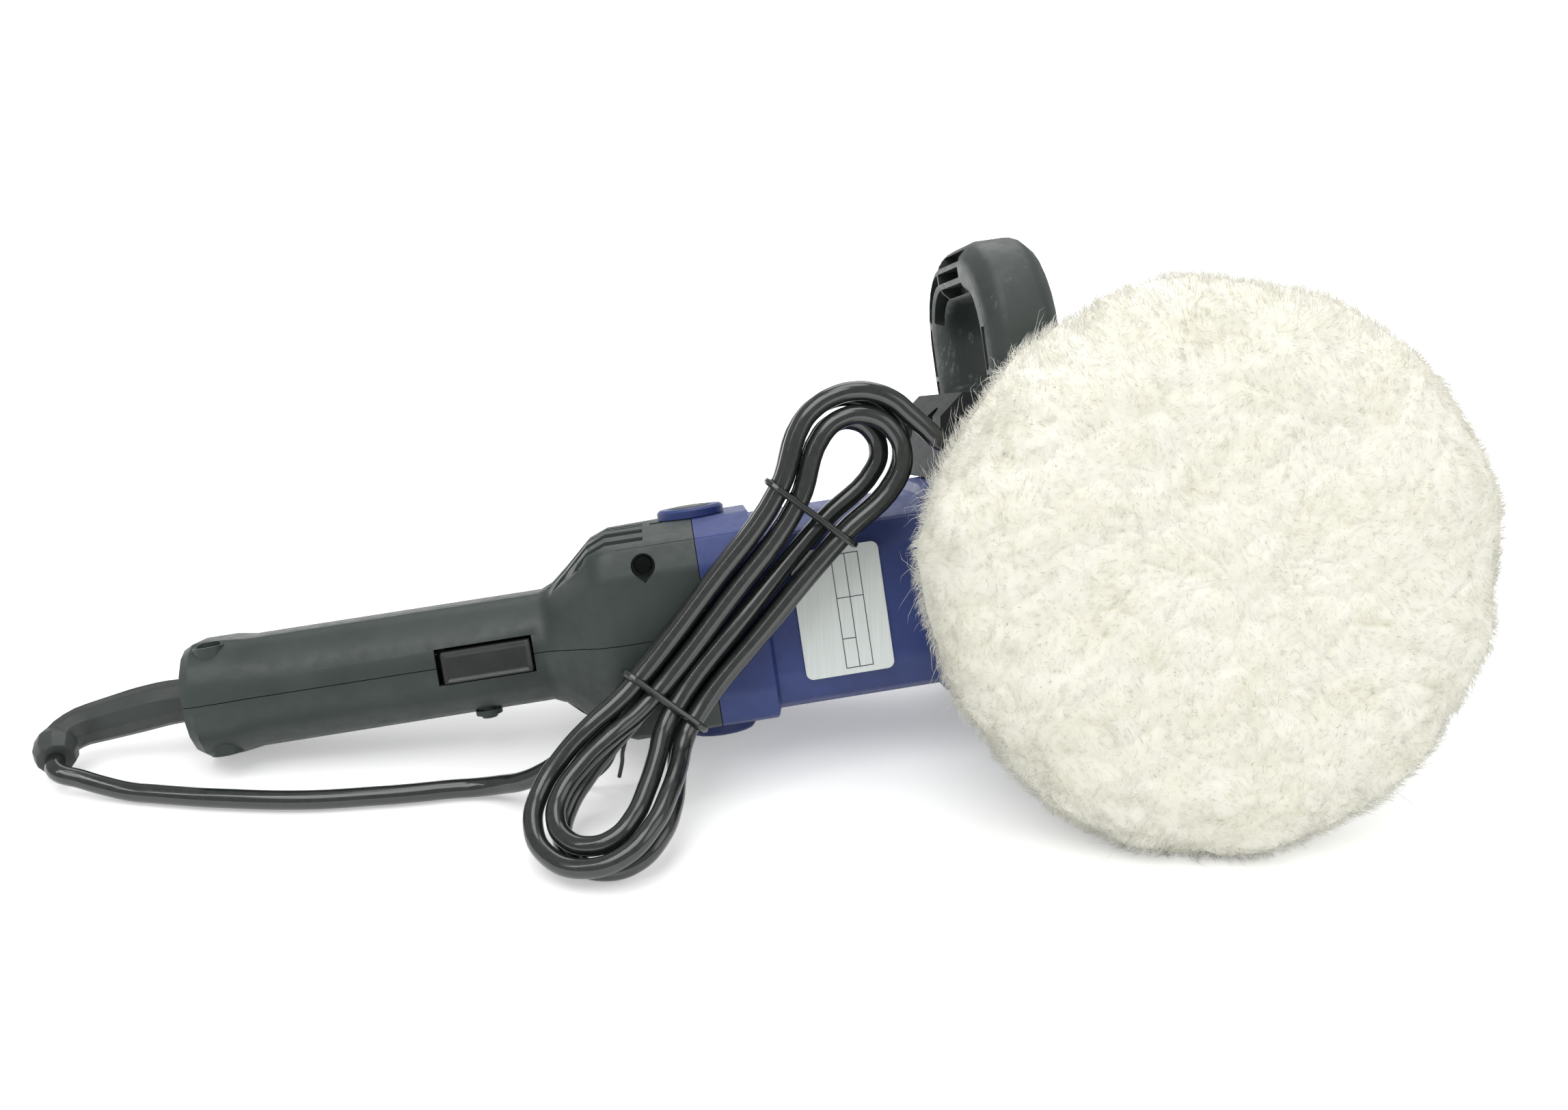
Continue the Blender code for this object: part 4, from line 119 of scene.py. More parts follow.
FREE_STRETCH = [
    (-0.2877, -0.006, 0.0112), (-0.2854, -0.0128, 0.01), (-0.276, -0.0156, 0.0075),
    (-0.2665, -0.0185, 0.0055), (-0.257, -0.0214, 0.0042), (-0.2472, -0.0241, 0.0039),
    (-0.2374, -0.0266, 0.0039), (-0.2276, -0.0289, 0.0039), (-0.2176, -0.0308, 0.0039),
    (-0.2077, -0.0326, 0.0039), (-0.1977, -0.034, 0.0039), (-0.1876, -0.0349, 0.0039),
    (-0.1775, -0.0351, 0.0039), (-0.1674, -0.0349, 0.0039), (-0.1573, -0.0347, 0.0039),
    (-0.1472, -0.0341, 0.0039), (-0.1371, -0.0333, 0.0039), (-0.1271, -0.0335, 0.0045),
    (-0.1178, -0.0364, 0.0069), (-0.1097, -0.0411, 0.0107), (-0.1017, -0.0444, 0.0159),
    (-0.0941, -0.0466, 0.0222), (-0.0867, -0.0479, 0.029), (-0.0798, -0.0456, 0.0353),
    (-0.0751, -0.0423, 0.0397),
]
HANK = [
    (-0.0701, -0.0389, 0.0443), (-0.0658, -0.0359, 0.0483), (-0.0367, -0.0247, 0.0809),
    (-0.0103, -0.0156, 0.1139), (-0.0012, -0.0083, 0.1365), (0.0086, -0.0061, 0.144),
    (0.0211, -0.0064, 0.1447), (0.0315, -0.009, 0.1383), (0.0359, -0.013, 0.1272),
    (0.0325, -0.0168, 0.1158), (0.0124, -0.0222, 0.0973), (-0.0174, -0.0308, 0.0654),
    (-0.0459, -0.0417, 0.0335), (-0.0511, -0.0493, 0.0259), (-0.0525, -0.061, 0.0211),
    (-0.0547, -0.0751, 0.0176), (-0.0596, -0.0868, 0.0132), (-0.0683, -0.0929, 0.0074),
    (-0.0798, -0.0925, 0.0038), (-0.0897, -0.0857, 0.0039), (-0.0944, -0.0752, 0.0075),
    (-0.0919, -0.0649, 0.0134), (-0.0847, -0.0571, 0.0213), (-0.0759, -0.0509, 0.0298),
    (-0.0678, -0.0443, 0.0357), (-0.0592, -0.0378, 0.0434), (-0.0303, -0.0267, 0.0758),
    (-0.0036, -0.0176, 0.109), (0.0059, -0.01, 0.1322), (0.0116, -0.0088, 0.1365),
    (0.0188, -0.0089, 0.1369), (0.0249, -0.0105, 0.1332), (0.0274, -0.0128, 0.1268),
    (0.0255, -0.015, 0.1201), (0.0057, -0.0206, 0.1023), (-0.0242, -0.0347, 0.0725),
    (-0.0521, -0.0474, 0.0421), (-0.0565, -0.0531, 0.036), (-0.0595, -0.0629, 0.0307),
    (-0.0636, -0.0749, 0.0258), (-0.069, -0.0856, 0.0205), (-0.0758, -0.0904, 0.016),
    (-0.0848, -0.0901, 0.0132), (-0.0926, -0.0848, 0.0133), (-0.0962, -0.0765, 0.0161),
    (-0.0943, -0.0685, 0.0207), (-0.0863, -0.0612, 0.0285), (-0.0755, -0.056, 0.0366),
    (-0.0661, -0.0502, 0.0416), (-0.0587, -0.0455, 0.0471), (-0.0307, -0.0348, 0.0784),
    (-0.0039, -0.0256, 0.1118), (0.0056, -0.0181, 0.1349), (0.0133, -0.0164, 0.1408),
    (0.0232, -0.0166, 0.1414), (0.0314, -0.0187, 0.1363), (0.0349, -0.0218, 0.1276),
    (0.0322, -0.0248, 0.1185), (0.012, -0.0303, 0.1001), (-0.0178, -0.0389, 0.068),
    (-0.0454, -0.0494, 0.0372), (-0.0494, -0.0552, 0.0318), (-0.0521, -0.0661, 0.028),
    (-0.0563, -0.0792, 0.0249), (-0.062, -0.0904, 0.0205), (-0.0725, -0.0978, 0.0135),
    (-0.0866, -0.0973, 0.0091), (-0.0987, -0.089, 0.0092), (-0.1043, -0.0762, 0.0136),
    (-0.1013, -0.0637, 0.0207), (-0.0936, -0.0569, 0.0294), (-0.0829, -0.0528, 0.0394),
    (-0.0732, -0.0481, 0.0458), (-0.0653, -0.0435, 0.052), (-0.0372, -0.0328, 0.0835),
    (-0.0106, -0.0237, 0.1167), (-0.0015, -0.0163, 0.1393), (0.0037, -0.0146, 0.1447),
    (0.0103, -0.0137, 0.1483), (0.0179, -0.0135, 0.1499), (0.0255, -0.014, 0.1491),
    (0.0324, -0.0153, 0.1462), (0.0381, -0.0172, 0.1414), (0.0434, -0.019, 0.1368),
]
TAIL = [
    (0.049, -0.0209, 0.132), (0.0591, -0.0189, 0.1289), (0.0704, -0.0153, 0.1286),
    (0.0823, -0.015, 0.1271), (0.0943, -0.0153, 0.126), (0.1063, -0.0151, 0.1261),
    (0.1183, -0.015, 0.1268), (0.1303, -0.0151, 0.1272), (0.1423, -0.0154, 0.1278),
    (0.1542, -0.0162, 0.1269), (0.1653, -0.0181, 0.1227), (0.1748, -0.0208, 0.116),
    (0.182, -0.0248, 0.1073), (0.1872, -0.0284, 0.0971), (0.1915, -0.0289, 0.0859),
    (0.1953, -0.0284, 0.0746), (0.1987, -0.0272, 0.0631), (0.2015, -0.0255, 0.0515),
    (0.2031, -0.0236, 0.0398), (0.2031, -0.021, 0.0281), (0.2023, -0.0152, 0.0178),
    (0.2014, -0.0054, 0.011), (0.2002, 0.0057, 0.0066), (0.1981, 0.0171, 0.0039),
    (0.1953, 0.0288, 0.0039), (0.1918, 0.0402, 0.0039), (0.1866, 0.051, 0.0039),
    (0.1785, 0.0599, 0.004), (0.1689, 0.0671, 0.0045), (0.1617, 0.0742, 0.0085),
    (0.1541, 0.0755, 0.0127), (0.1471, 0.0755, 0.0127),
]

# The tool's frame, from its spindle and its motor shaft

JOINTS = {joint["name"]: joint for joint in frame["joints"]}


def tool_frame():
    along = Vector(JOINTS["armature_spin"]["axis"])
    back = Vector(JOINTS["spindle_spin"]["axis"])
    turn = Matrix((along, back, along.cross(back))).transposed().to_4x4()
    return Matrix.Translation(JOINTS["spindle_spin"]["pos_m"]) @ turn


TOOL = tool_frame()
SWING = (
    Matrix.Translation((LOOP_X, LOOP_Y, 0))
    @ Matrix.Rotation(math.radians(LOOP_TURN), 4, "Z")
    @ Matrix.Translation((-LOOP_X, -LOOP_Y, 0))
)
LOOP = TOOL @ SWING


# Camera, floor and light


def add_camera():
    bpy.ops.object.camera_add(
        location=CAMERA_PLACE, rotation=[math.radians(a) for a in CAMERA_TURN]
    )
    camera = bpy.context.object
    camera.name = "camera"
    camera.data.sensor_fit = "HORIZONTAL"
    camera.data.sensor_width = CAMERA_SENSOR
    camera.data.lens = CAMERA_LENS
    camera.data.clip_start = 0.01
    bpy.context.scene.camera = camera


def add_floor():
    """A pale floor that keeps the tool's shadow near it and goes to plain white further off."""
    bpy.ops.mesh.primitive_plane_add(size=8.0, location=(0, 0, -0.0002))
    floor = bpy.context.object
    floor.name = "floor"
    material, nodes, links, shader = new_look("pale_floor", (0.93, 0.94, 0.93), 0.9)
    shader.inputs["Specular IOR Level"].default_value = 0.1
    seen = seen_ray(nodes, links, "Is Glossy Ray")
    far = nodes.new("ShaderNodeVectorMath")
    far.operation = "LENGTH"
    links.new(place_of(nodes, links, (0.62, 1, 1)), far.inputs[0])
    lift = between(nodes, links, far.outputs["Value"], NEAR_GLOW, FAR_GLOW, 0.14, 0.46)
    share = nodes.new("ShaderNodeMath")
    share.operation = "MULTIPLY"
    links.new(seen, share.inputs[0])
    links.new(lift, share.inputs[1])
    glow = nodes.new("ShaderNodeEmission")
    links.new(share.outputs[0], glow.inputs["Strength"])
    both = nodes.new("ShaderNodeAddShader")
    links.new(shader.outputs[0], both.inputs[0])
    links.new(glow.outputs[0], both.inputs[1])
    links.new(both.outputs[0], nodes["Material Output"].inputs["Surface"])
    floor.data.materials.append(material)


def seen_ray(nodes, links, other):
    """One where the camera or another kind of ray looks, and nought for light that bounces."""
    path = nodes.new("ShaderNodeLightPath")
    seen = nodes.new("ShaderNodeMath")
    seen.operation = "MAXIMUM"
    links.new(path.outputs["Is Camera Ray"], seen.inputs[0])
    links.new(path.outputs[other], seen.inputs[1])
    return seen.outputs[0]


def add_area_light(name, place, aim, size, watts):
    way = Vector(aim) - Vector(place)
    bpy.ops.object.light_add(type="AREA", location=place)
    lamp = bpy.context.object
    lamp.name = name
    lamp.rotation_euler = way.to_track_quat("-Z", "Y").to_euler()
    lamp.data.shape = "DISK"
    lamp.data.size = size
    lamp.data.energy = watts


def add_strip_light():
    """A narrow lamp along the hank, for the fine lines of light on its strands."""
    back = (Vector(STRIP_PLACE) - Vector(STRIP_AIM)).normalized()
    across = back.cross(Vector(STRIP_ALONG)).normalized()
    turn = Matrix((across.cross(back), across, back)).transposed()
    bpy.ops.object.light_add(type="AREA", location=STRIP_PLACE, rotation=turn.to_euler())
    lamp = bpy.context.object
    lamp.name = "strip"
    lamp.data.shape = "RECTANGLE"
    lamp.data.size, lamp.data.size_y = STRIP_SIZE
    lamp.data.energy = STRIP_POWER


def add_light():
    world = bpy.data.worlds.new("studio")
    bpy.context.scene.world = world
    world.use_nodes = True
    nodes = world.node_tree.nodes
    links = world.node_tree.links
    seen = seen_ray(nodes, links, "Is Transmission Ray")
    strength = between(nodes, links, seen, WORLD_LIGHT, 1.0, 0.0, 1.0)
    links.new(strength, nodes["Background"].inputs["Strength"])
    nodes["Background"].inputs["Color"].default_value = (1.0, 1.0, 1.0, 1)
    for name, lamp in LAMPS.items():
        add_area_light(name, *lamp)
    add_strip_light()


# Materials: patterns read object coordinates in metres


def new_look(name, colour, roughness, metallic=0.0):
    material = bpy.data.materials.new(name)
    material.use_nodes = True
    nodes = material.node_tree.nodes
    shader = nodes["Principled BSDF"]
    shader.inputs["Base Color"].default_value = (*colour, 1)
    shader.inputs["Roughness"].default_value = roughness
    shader.inputs["Metallic"].default_value = metallic
    return material, nodes, material.node_tree.links, shader


def place_of(nodes, links, stretch=(1, 1, 1), turn=(0, 0, 0)):
    """Object coordinates, stretched and turned."""
    spot = nodes.new("ShaderNodeTexCoord")
    mapping = nodes.new("ShaderNodeMapping")
    mapping.inputs["Scale"].default_value = stretch
    mapping.inputs["Rotation"].default_value = turn
    links.new(spot.outputs["Object"], mapping.inputs["Vector"])
    return mapping.outputs["Vector"]


def speckle(nodes, links, vector, scale, detail=3.0, rough=0.55):
    texture = nodes.new("ShaderNodeTexNoise")
    texture.inputs["Scale"].default_value = scale
    texture.inputs["Detail"].default_value = detail
    texture.inputs["Roughness"].default_value = rough
    links.new(vector, texture.inputs["Vector"])
    return texture.outputs["Fac"]


def between(nodes, links, value, low, high, start=0.3, stop=0.7):
    """A value spread over a range."""
    spread = nodes.new("ShaderNodeMapRange")
    spread.inputs["From Min"].default_value = start
    spread.inputs["From Max"].default_value = stop
    spread.inputs["To Min"].default_value = low
    spread.inputs["To Max"].default_value = high
    links.new(value, spread.inputs["Value"])
    return spread.outputs["Result"]


def two_tone(nodes, links, value, dark, light, start=0.35, stop=0.65):
    ramp = nodes.new("ShaderNodeValToRGB")
    ramp.color_ramp.elements[0].position = start
    ramp.color_ramp.elements[0].color = (*dark, 1)
    ramp.color_ramp.elements[1].position = stop
    ramp.color_ramp.elements[1].color = (*light, 1)
    links.new(value, ramp.inputs["Fac"])
    return ramp.outputs["Color"]


def raise_bump(nodes, links, shader, height, strength, distance, under=None):
    bump = nodes.new("ShaderNodeBump")
    bump.inputs["Strength"].default_value = strength
    bump.inputs["Distance"].default_value = distance
    links.new(height, bump.inputs["Height"])
    if under:
        links.new(under, bump.inputs["Normal"])
    links.new(bump.outputs["Normal"], shader.inputs["Normal"])
    return bump.outputs["Normal"]


def grained_plastic(name, dark, light, rough_low, rough_high, grain=2600, depth=0.00012):
    """Moulded plastic with a fine spark-eroded grain and faint flow marks."""
    material, nodes, links, shader = new_look(name, light, rough_high)
    vector = place_of(nodes, links)
    cloud = speckle(nodes, links, vector, 45, 4)
    colour = two_tone(nodes, links, cloud, dark, light)
    links.new(colour, shader.inputs["Base Color"])
    patch = speckle(nodes, links, vector, 240, 3)
    links.new(between(nodes, links, patch, rough_low, rough_high), shader.inputs["Roughness"])
    fine = speckle(nodes, links, vector, grain, 2)
    raise_bump(nodes, links, shader, fine, 0.35, depth)
    return material


def turned_metal(name, dark, light, rough_low, rough_high, lines=(900, 60, 900)):
    """Machined metal with fine tool marks and a little staining."""
    material, nodes, links, shader = new_look(name, light, rough_high, 1.0)
    marks = speckle(nodes, links, place_of(nodes, links, lines), 1.0, 3)
    stain = speckle(nodes, links, place_of(nodes, links), 130, 4)
    links.new(two_tone(nodes, links, stain, dark, light), shader.inputs["Base Color"])
    links.new(between(nodes, links, marks, rough_low, rough_high), shader.inputs["Roughness"])
    raise_bump(nodes, links, shader, marks, 0.15, 0.00005)
    return material


def painted_casting():
    material, nodes, links, shader = new_look("painted_casting", (0.022, 0.025, 0.026), 0.6)
    shader.inputs["Specular IOR Level"].default_value = 0.22
    vector = place_of(nodes, links)
    cloud = speckle(nodes, links, vector, 60, 4)
    tone = two_tone(nodes, links, cloud, (0.016, 0.018, 0.019), (0.028, 0.031, 0.032))
    links.new(tone, shader.inputs["Base Color"])
    skin = speckle(nodes, links, vector, 650, 3)
    links.new(between(nodes, links, skin, 0.54, 0.68), shader.inputs["Roughness"])
    raise_bump(nodes, links, shader, skin, 0.4, 0.0002)
    return material


def stacked_iron():
    """Thin sheets pressed together along the motor's axis."""
    material, nodes, links, shader = new_look("stacked_iron", (0.24, 0.22, 0.20), 0.5, 0.9)
    vector = place_of(nodes, links)
    wave = nodes.new("ShaderNodeTexWave")
    wave.inputs["Scale"].default_value = 320
    wave.inputs["Distortion"].default_value = 0.4
    links.new(vector, wave.inputs["Vector"])
    tone = two_tone(nodes, links, wave.outputs["Fac"], (0.10, 0.09, 0.085), (0.30, 0.28, 0.26))
    links.new(tone, shader.inputs["Base Color"])
    raise_bump(nodes, links, shader, wave.outputs["Fac"], 0.3, 0.0002)
    return material


def wool_look(name, dark, light):
    """Cream wool, warmer where it mats together, that lets light through."""
    material, nodes, links, shader = new_look(name, light, 0.95)
    shader.inputs["Subsurface Weight"].default_value = 0.5
    shader.inputs["Subsurface Radius"].default_value = (1.0, 0.95, 0.82)
    shader.inputs["Subsurface Scale"].default_value = 0.004
    shader.inputs["Specular IOR Level"].default_value = 0.1
    vector = place_of(nodes, links)
    clump = speckle(nodes, links, vector, 60, 5, 0.6)
    links.new(two_tone(nodes, links, clump, dark, light, 0.34, 0.6), shader.inputs["Base Color"])
    fluff = speckle(nodes, links, vector, 900, 4, 0.7)
    raise_bump(nodes, links, shader, fluff, 0.25, 0.0003)
    return material


def scuffed_plastic():
    """The handle's plastic with pale rubbed marks, as a grip that has been set down often shows."""
    base = grained_plastic("grip_plastic", (0.030, 0.039, 0.036), (0.042, 0.053, 0.049), 0.42, 0.56)
    nodes = base.node_tree.nodes
    links = base.node_tree.links
    shader = nodes["Principled BSDF"]
    plain = shader.inputs["Base Color"].links[0].from_socket
    scrape = speckle(nodes, links, place_of(nodes, links, (1, 1, 0.35), (0.4, 0.2, 0.1)), 420, 5, 0.7)
    patch = speckle(nodes, links, place_of(nodes, links), 38, 3)
    both = nodes.new("ShaderNodeMath")
    both.operation = "MULTIPLY"
    links.new(scrape, both.inputs[0])
    links.new(patch, both.inputs[1])
    rubbed = nodes.new("ShaderNodeMix")
    rubbed.data_type = "RGBA"
    links.new(between(nodes, links, both.outputs[0], 0.0, 0.55, 0.34, 0.44), rubbed.inputs["Factor"])
    links.new(plain, rubbed.inputs["A"])
    rubbed.inputs["B"].default_value = (0.24, 0.26, 0.25, 1)
    links.new(rubbed.outputs["Result"], shader.inputs["Base Color"])
    return base


def cord_jacket():
    """Glossy flex jacket with a fine grain and dust."""
    material, nodes, links, shader = new_look("cord_jacket", (0.014, 0.016, 0.015), 0.2)
    vector = place_of(nodes, links)
    dust = speckle(nodes, links, vector, 320, 4)
    tone = two_tone(nodes, links, dust, (0.011, 0.014, 0.013), (0.019, 0.022, 0.021))
    links.new(tone, shader.inputs["Base Color"])
    links.new(between(nodes, links, dust, 0.13, 0.20), shader.inputs["Roughness"])
    shader.inputs["Specular IOR Level"].default_value = 0.8
    fine = speckle(nodes, links, vector, 1500, 2)
    raise_bump(nodes, links, shader, fine, 0.06, 0.00005)
    return material


def plate_foil():
    """Bare satin label stock with a brushed run."""
    material, nodes, links, shader = new_look("plate_foil", (0.80, 0.85, 0.83), 0.4, 0.1)
    run = speckle(nodes, links, place_of(nodes, links, (1800, 40, 40)), 1.0, 3)
    tone = two_tone(nodes, links, run, (0.76, 0.81, 0.79), (0.83, 0.88, 0.86))
    links.new(tone, shader.inputs["Base Color"])
    links.new(between(nodes, links, run, 0.34, 0.48), shader.inputs["Roughness"])
    raise_bump(nodes, links, shader, run, 0.1, 0.00004)
    return material


def make_looks():
    return {
        "scuffed_plastic": scuffed_plastic(),
        "trigger_plastic": grained_plastic(
            "trigger_plastic", (0.011, 0.014, 0.013), (0.019, 0.023, 0.022), 0.24, 0.36
        ),
        # The shell screws' steel is painted near black: painted shade for the recesses the screws sit in.
        "steel_with_painted_recess_shade": turned_metal("steel_with_painted_recess_shade", (0.010, 0.011, 0.011), (0.020, 0.021, 0.021), 0.35, 0.5),
        "black_plastic": grained_plastic(
            "handle_plastic", (0.024, 0.035, 0.031), (0.033, 0.046, 0.042), 0.40, 0.54
        ),
        "blue_plastic": grained_plastic(
            "motor_plastic", (0.022, 0.040, 0.165), (0.031, 0.054, 0.205), 0.44, 0.56
        ),
        "dark_casting": painted_casting(),
        "steel": turned_metal("turned_steel", (0.36, 0.36, 0.37), (0.58, 0.59, 0.60), 0.25, 0.42),
        "gear_steel": turned_metal("gear_steel", (0.28, 0.28, 0.30), (0.46, 0.46, 0.47), 0.28, 0.45),
        "bronze": turned_metal("bush_bronze", (0.42, 0.28, 0.12), (0.64, 0.45, 0.22), 0.3, 0.5),
        "brass": turned_metal("strip_brass", (0.60, 0.43, 0.17), (0.80, 0.62, 0.30), 0.22, 0.4),
        "copper": turned_metal("segment_copper", (0.50, 0.24, 0.12), (0.74, 0.41, 0.22), 0.25, 0.42),
        "carbon": grained_plastic("brush_carbon", (0.03, 0.03, 0.032), (0.055, 0.055, 0.058), 0.6, 0.8),
        "laminations": stacked_iron(),
        "switch_plastic": grained_plastic("switch_plastic", (0.08, 0.08, 0.09), (0.12, 0.12, 0.13), 0.4, 0.5),
        "dial_plastic": grained_plastic("dial_plastic", (0.04, 0.042, 0.045), (0.06, 0.063, 0.066), 0.4, 0.55),
        "plate_silver": plate_foil(),
        "rubber": grained_plastic("boot_rubber", (0.030, 0.036, 0.033), (0.042, 0.050, 0.046), 0.42, 0.58, 1500),
        "cord_rubber": cord_jacket(),
        "wool": wool_look("wool", (0.86, 0.84, 0.73), (0.91, 0.895, 0.805)),
    }


# Working by hand: selecting, editing and finishing


def pick(obj):
    bpy.ops.object.select_all(action="DESELECT")
    obj.select_set(True)
    bpy.context.view_layer.objects.active = obj


def edit(obj):
    pick(obj)
    bpy.ops.object.mode_set(mode="EDIT")
    bpy.ops.mesh.select_all(action="SELECT")


def leave():
    bpy.ops.object.mode_set(mode="OBJECT")


def finish_with(obj, kind, **settings):
    modifier = obj.modifiers.new(kind.lower(), kind)
    for key, value in settings.items():
        setattr(modifier, key, value)
    pick(obj)
    bpy.ops.object.modifier_apply(modifier=modifier.name)


def set_down(obj, matrix):
    """Moves a piece drawn in its own frame to its place, which ends up in its mesh."""
    obj.matrix_world = matrix
    pick(obj)
    bpy.ops.object.transform_apply(location=True, rotation=True, scale=True)


def round_edges(obj, width, segments=2, angle=32):
    finish_with(
        obj,
        "BEVEL",
        width=width,
        segments=segments,
        limit_method="ANGLE",
        angle_limit=math.radians(angle),
        use_clamp_overlap=True,
    )
    pick(obj)
    bpy.ops.object.shade_smooth_by_angle(angle=math.radians(38))
    finish_with(obj, "WEIGHTED_NORMAL", keep_sharp=True)


def copy_of(node, name):
    """A node's own shape as one joined mesh with whole faces, to be worked on."""
    source = frame["nodes"][node]
    piece = bpy.data.objects.new(name, source.data.copy())
    bpy.context.scene.collection.objects.link(piece)
    piece.data.materials.clear()
    edit(piece)
    bpy.ops.mesh.customdata_custom_splitnormals_clear()
    bpy.ops.mesh.remove_doubles(threshold=0.00001)
    bpy.ops.mesh.dissolve_limited(angle_limit=math.radians(1.5))
    leave()
    return piece


def dressed(piece, body, slot, *nodes):
    """Gives a piece its finish and its body, and hides the solids it stands for."""
    if not piece.data.materials:
        piece.data.materials.append(LOOKS[slot])
    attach(piece, body)
    if nodes:
        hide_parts(*nodes)
    return piece


def body_of(node):
    for name, nodes in frame["record"]["behaviour"]["bodies"].items():
        if node in nodes:
            return name


SLOTS = {part["node"]: part["material_slot"] for part in frame["record"]["subparts"]}


def carve(piece, *cutters):
    for cutter in cutters:
        finish_with(piece, "BOOLEAN", operation="DIFFERENCE", solver="EXACT", object=cutter)
        bpy.data.objects.remove(cutter, do_unlink=True)


def tool_box(piece):
    """A piece's lowest and highest corners in the tool's frame."""
    back = TOOL.inverted()
    places = np.array([back @ vertex.co for vertex in piece.data.vertices])
    return Vector(places.min(axis=0)), Vector(places.max(axis=0))


def block(name, low, high, matrix):
    """A block between two corners of a frame, to be shaped or to cut with."""
    size = Vector(high) - Vector(low)
    middle = (Vector(high) + Vector(low)) / 2
    bpy.ops.object.select_all(action="DESELECT")
    bpy.ops.mesh.primitive_cube_add(size=1.0)
    piece = bpy.context.object
    piece.name = name
    set_down(piece, matrix @ Matrix.Translation(middle) @ Matrix.Diagonal((*size, 1.0)))
    return piece


def bent_block(name, middle, radii, angles, ends, matrix):
    """A block bent about an axis along X through middle, (Y, Z), with angles in degrees from Y to Z."""
    inner, outer = radii
    rear, front = ends
    start, stop = (math.radians(angle) for angle in angles)
    bpy.ops.object.select_all(action="DESELECT")
    bpy.ops.mesh.primitive_plane_add(size=1.0)
    piece = bpy.context.object
    piece.name = name
    size = Matrix.Diagonal((front - rear, outer - inner, 1.0, 1.0))
    place = Matrix.Translation(((rear + front) / 2, (inner + outer) / 2, 0))
    set_down(piece, Matrix.Rotation(start, 4, "X") @ place @ size)
    edit(piece)
    bpy.ops.mesh.spin(steps=14, angle=start - stop, center=(0, 0, 0), axis=(1, 0, 0))
    bpy.ops.mesh.select_all(action="SELECT")
    bpy.ops.mesh.remove_doubles(threshold=0.000001)
    bpy.ops.mesh.normals_make_consistent(inside=False)
    leave()
    set_down(piece, matrix @ Matrix.Translation((0, *middle)))
    return piece


# Cord


def tube(name, routes, radius, rounds):
    """A round tube along each of some routes, as a curve."""
    curve = bpy.data.curves.new(name, "CURVE")
    curve.dimensions = "3D"
    curve.bevel_depth = radius
    curve.bevel_resolution = rounds
    curve.resolution_u = 6
    curve.use_fill_caps = True
    for route in routes:
        spline = curve.splines.new("BEZIER")
        spline.bezier_points.add(len(route) - 1)
        for point, place in zip(spline.bezier_points, route):
            point.co = place
            point.handle_left_type = "AUTO"
            point.handle_right_type = "AUTO"
    piece = bpy.data.objects.new(name, curve)
    bpy.context.scene.collection.objects.link(piece)
    return piece


def make_cord():
    lowest = CORD_DIAMETER / 2 + CORD_LIFT
    route = [(x, y, max(z, lowest)) for x, y, z in FREE_STRETCH + HANK + TAIL]
    cord = tube("mains_cord", [route], CORD_DIAMETER / 2, 5)
    return dressed(cord, "housing", "cord_rubber", "power_cord", "cord_hank", "cord_tail")


def make_tie_ends():
    """The lower tie's two cut ends, which hang behind the hank."""
    ends = tube("hank_tie_ends", TIE_ENDS, TIE_RADIUS, 3)
    pick(ends)
    bpy.ops.object.convert(target="MESH")
    return dressed(bpy.context.object, "housing", "rubber")


# Wool bonnet

WOOL_SEED = 11
FLEECE_ROUND = 400
FLEECE_STEPS = 120
FIBRE_PIECES = 4
FIBRES = 12000
FIBRE_ALONG = (0.0, 0.42, 0.78, 1.0)
FIBRE_WIDTH = (0.00008, 0.00008, 0.00005)
FLOOR_CLEAR = 0.0004


def fleece_profile():
    """Radius and Y of the pile's outside, from near the middle of its face round to its lip."""
    corners = np.array(
        [
            (0.0008, WOOL_FACE + 0.0012),
            (0.030, WOOL_FACE + 0.0013),
            (0.060, WOOL_FACE + 0.0022),
            (0.079, WOOL_FACE + 0.0040),
            (0.0915, WOOL_FACE + 0.0085),
            (0.0985, WOOL_FACE + 0.0160),
            (0.1012, WOOL_FACE + 0.0250),
            (0.0995, WOOL_BACK - 0.0125),
            (0.0940, WOOL_BACK - 0.0056),
            (0.0845, WOOL_BACK - 0.0022),
            (0.0775, WOOL_BACK - 0.0012),
            (0.0735, WOOL_BACK - 0.0020),
        ]
    )
    along = np.concatenate([[0], np.cumsum(np.linalg.norm(np.diff(corners, axis=0), axis=1))])
    spots = np.linspace(0, along[-1], FLEECE_STEPS)
    profile = np.stack([np.interp(spots, along, corners[:, k]) for k in (0, 1)], axis=1)
    for _ in range(6):
        profile[1:-1] = (profile[:-2] + 2 * profile[1:-1] + profile[2:]) / 4
    return profile


def pile_height(place):
    """How far the pile stands at a place: soft lobes, and cushions with creases between them."""
    rim = min(1.0, max(0.0, (math.hypot(place.x, place.z) - 0.05) / 0.04))
    lobe = noise.noise(place * 30.0) * (0.0016 + 0.0028 * rim)
    lobe += noise.noise(place * 13.0) * (0.0014 + 0.0032 * rim)
    bent = place + Vector(noise.noise_vector(place * 55.0)) * 0.0060
    height = lobe
    for scale, depth in ((62.0, 0.0016), (135.0, 0.0008)):
        near = noise.voronoi(bent * scale)[0]
        height += math.sqrt(min(1.0, (near[1] - near[0]) * 1.5)) * depth
    return height + noise.fractal(bent * 300.0, 1.0, 2.1, 2) * 0.0002


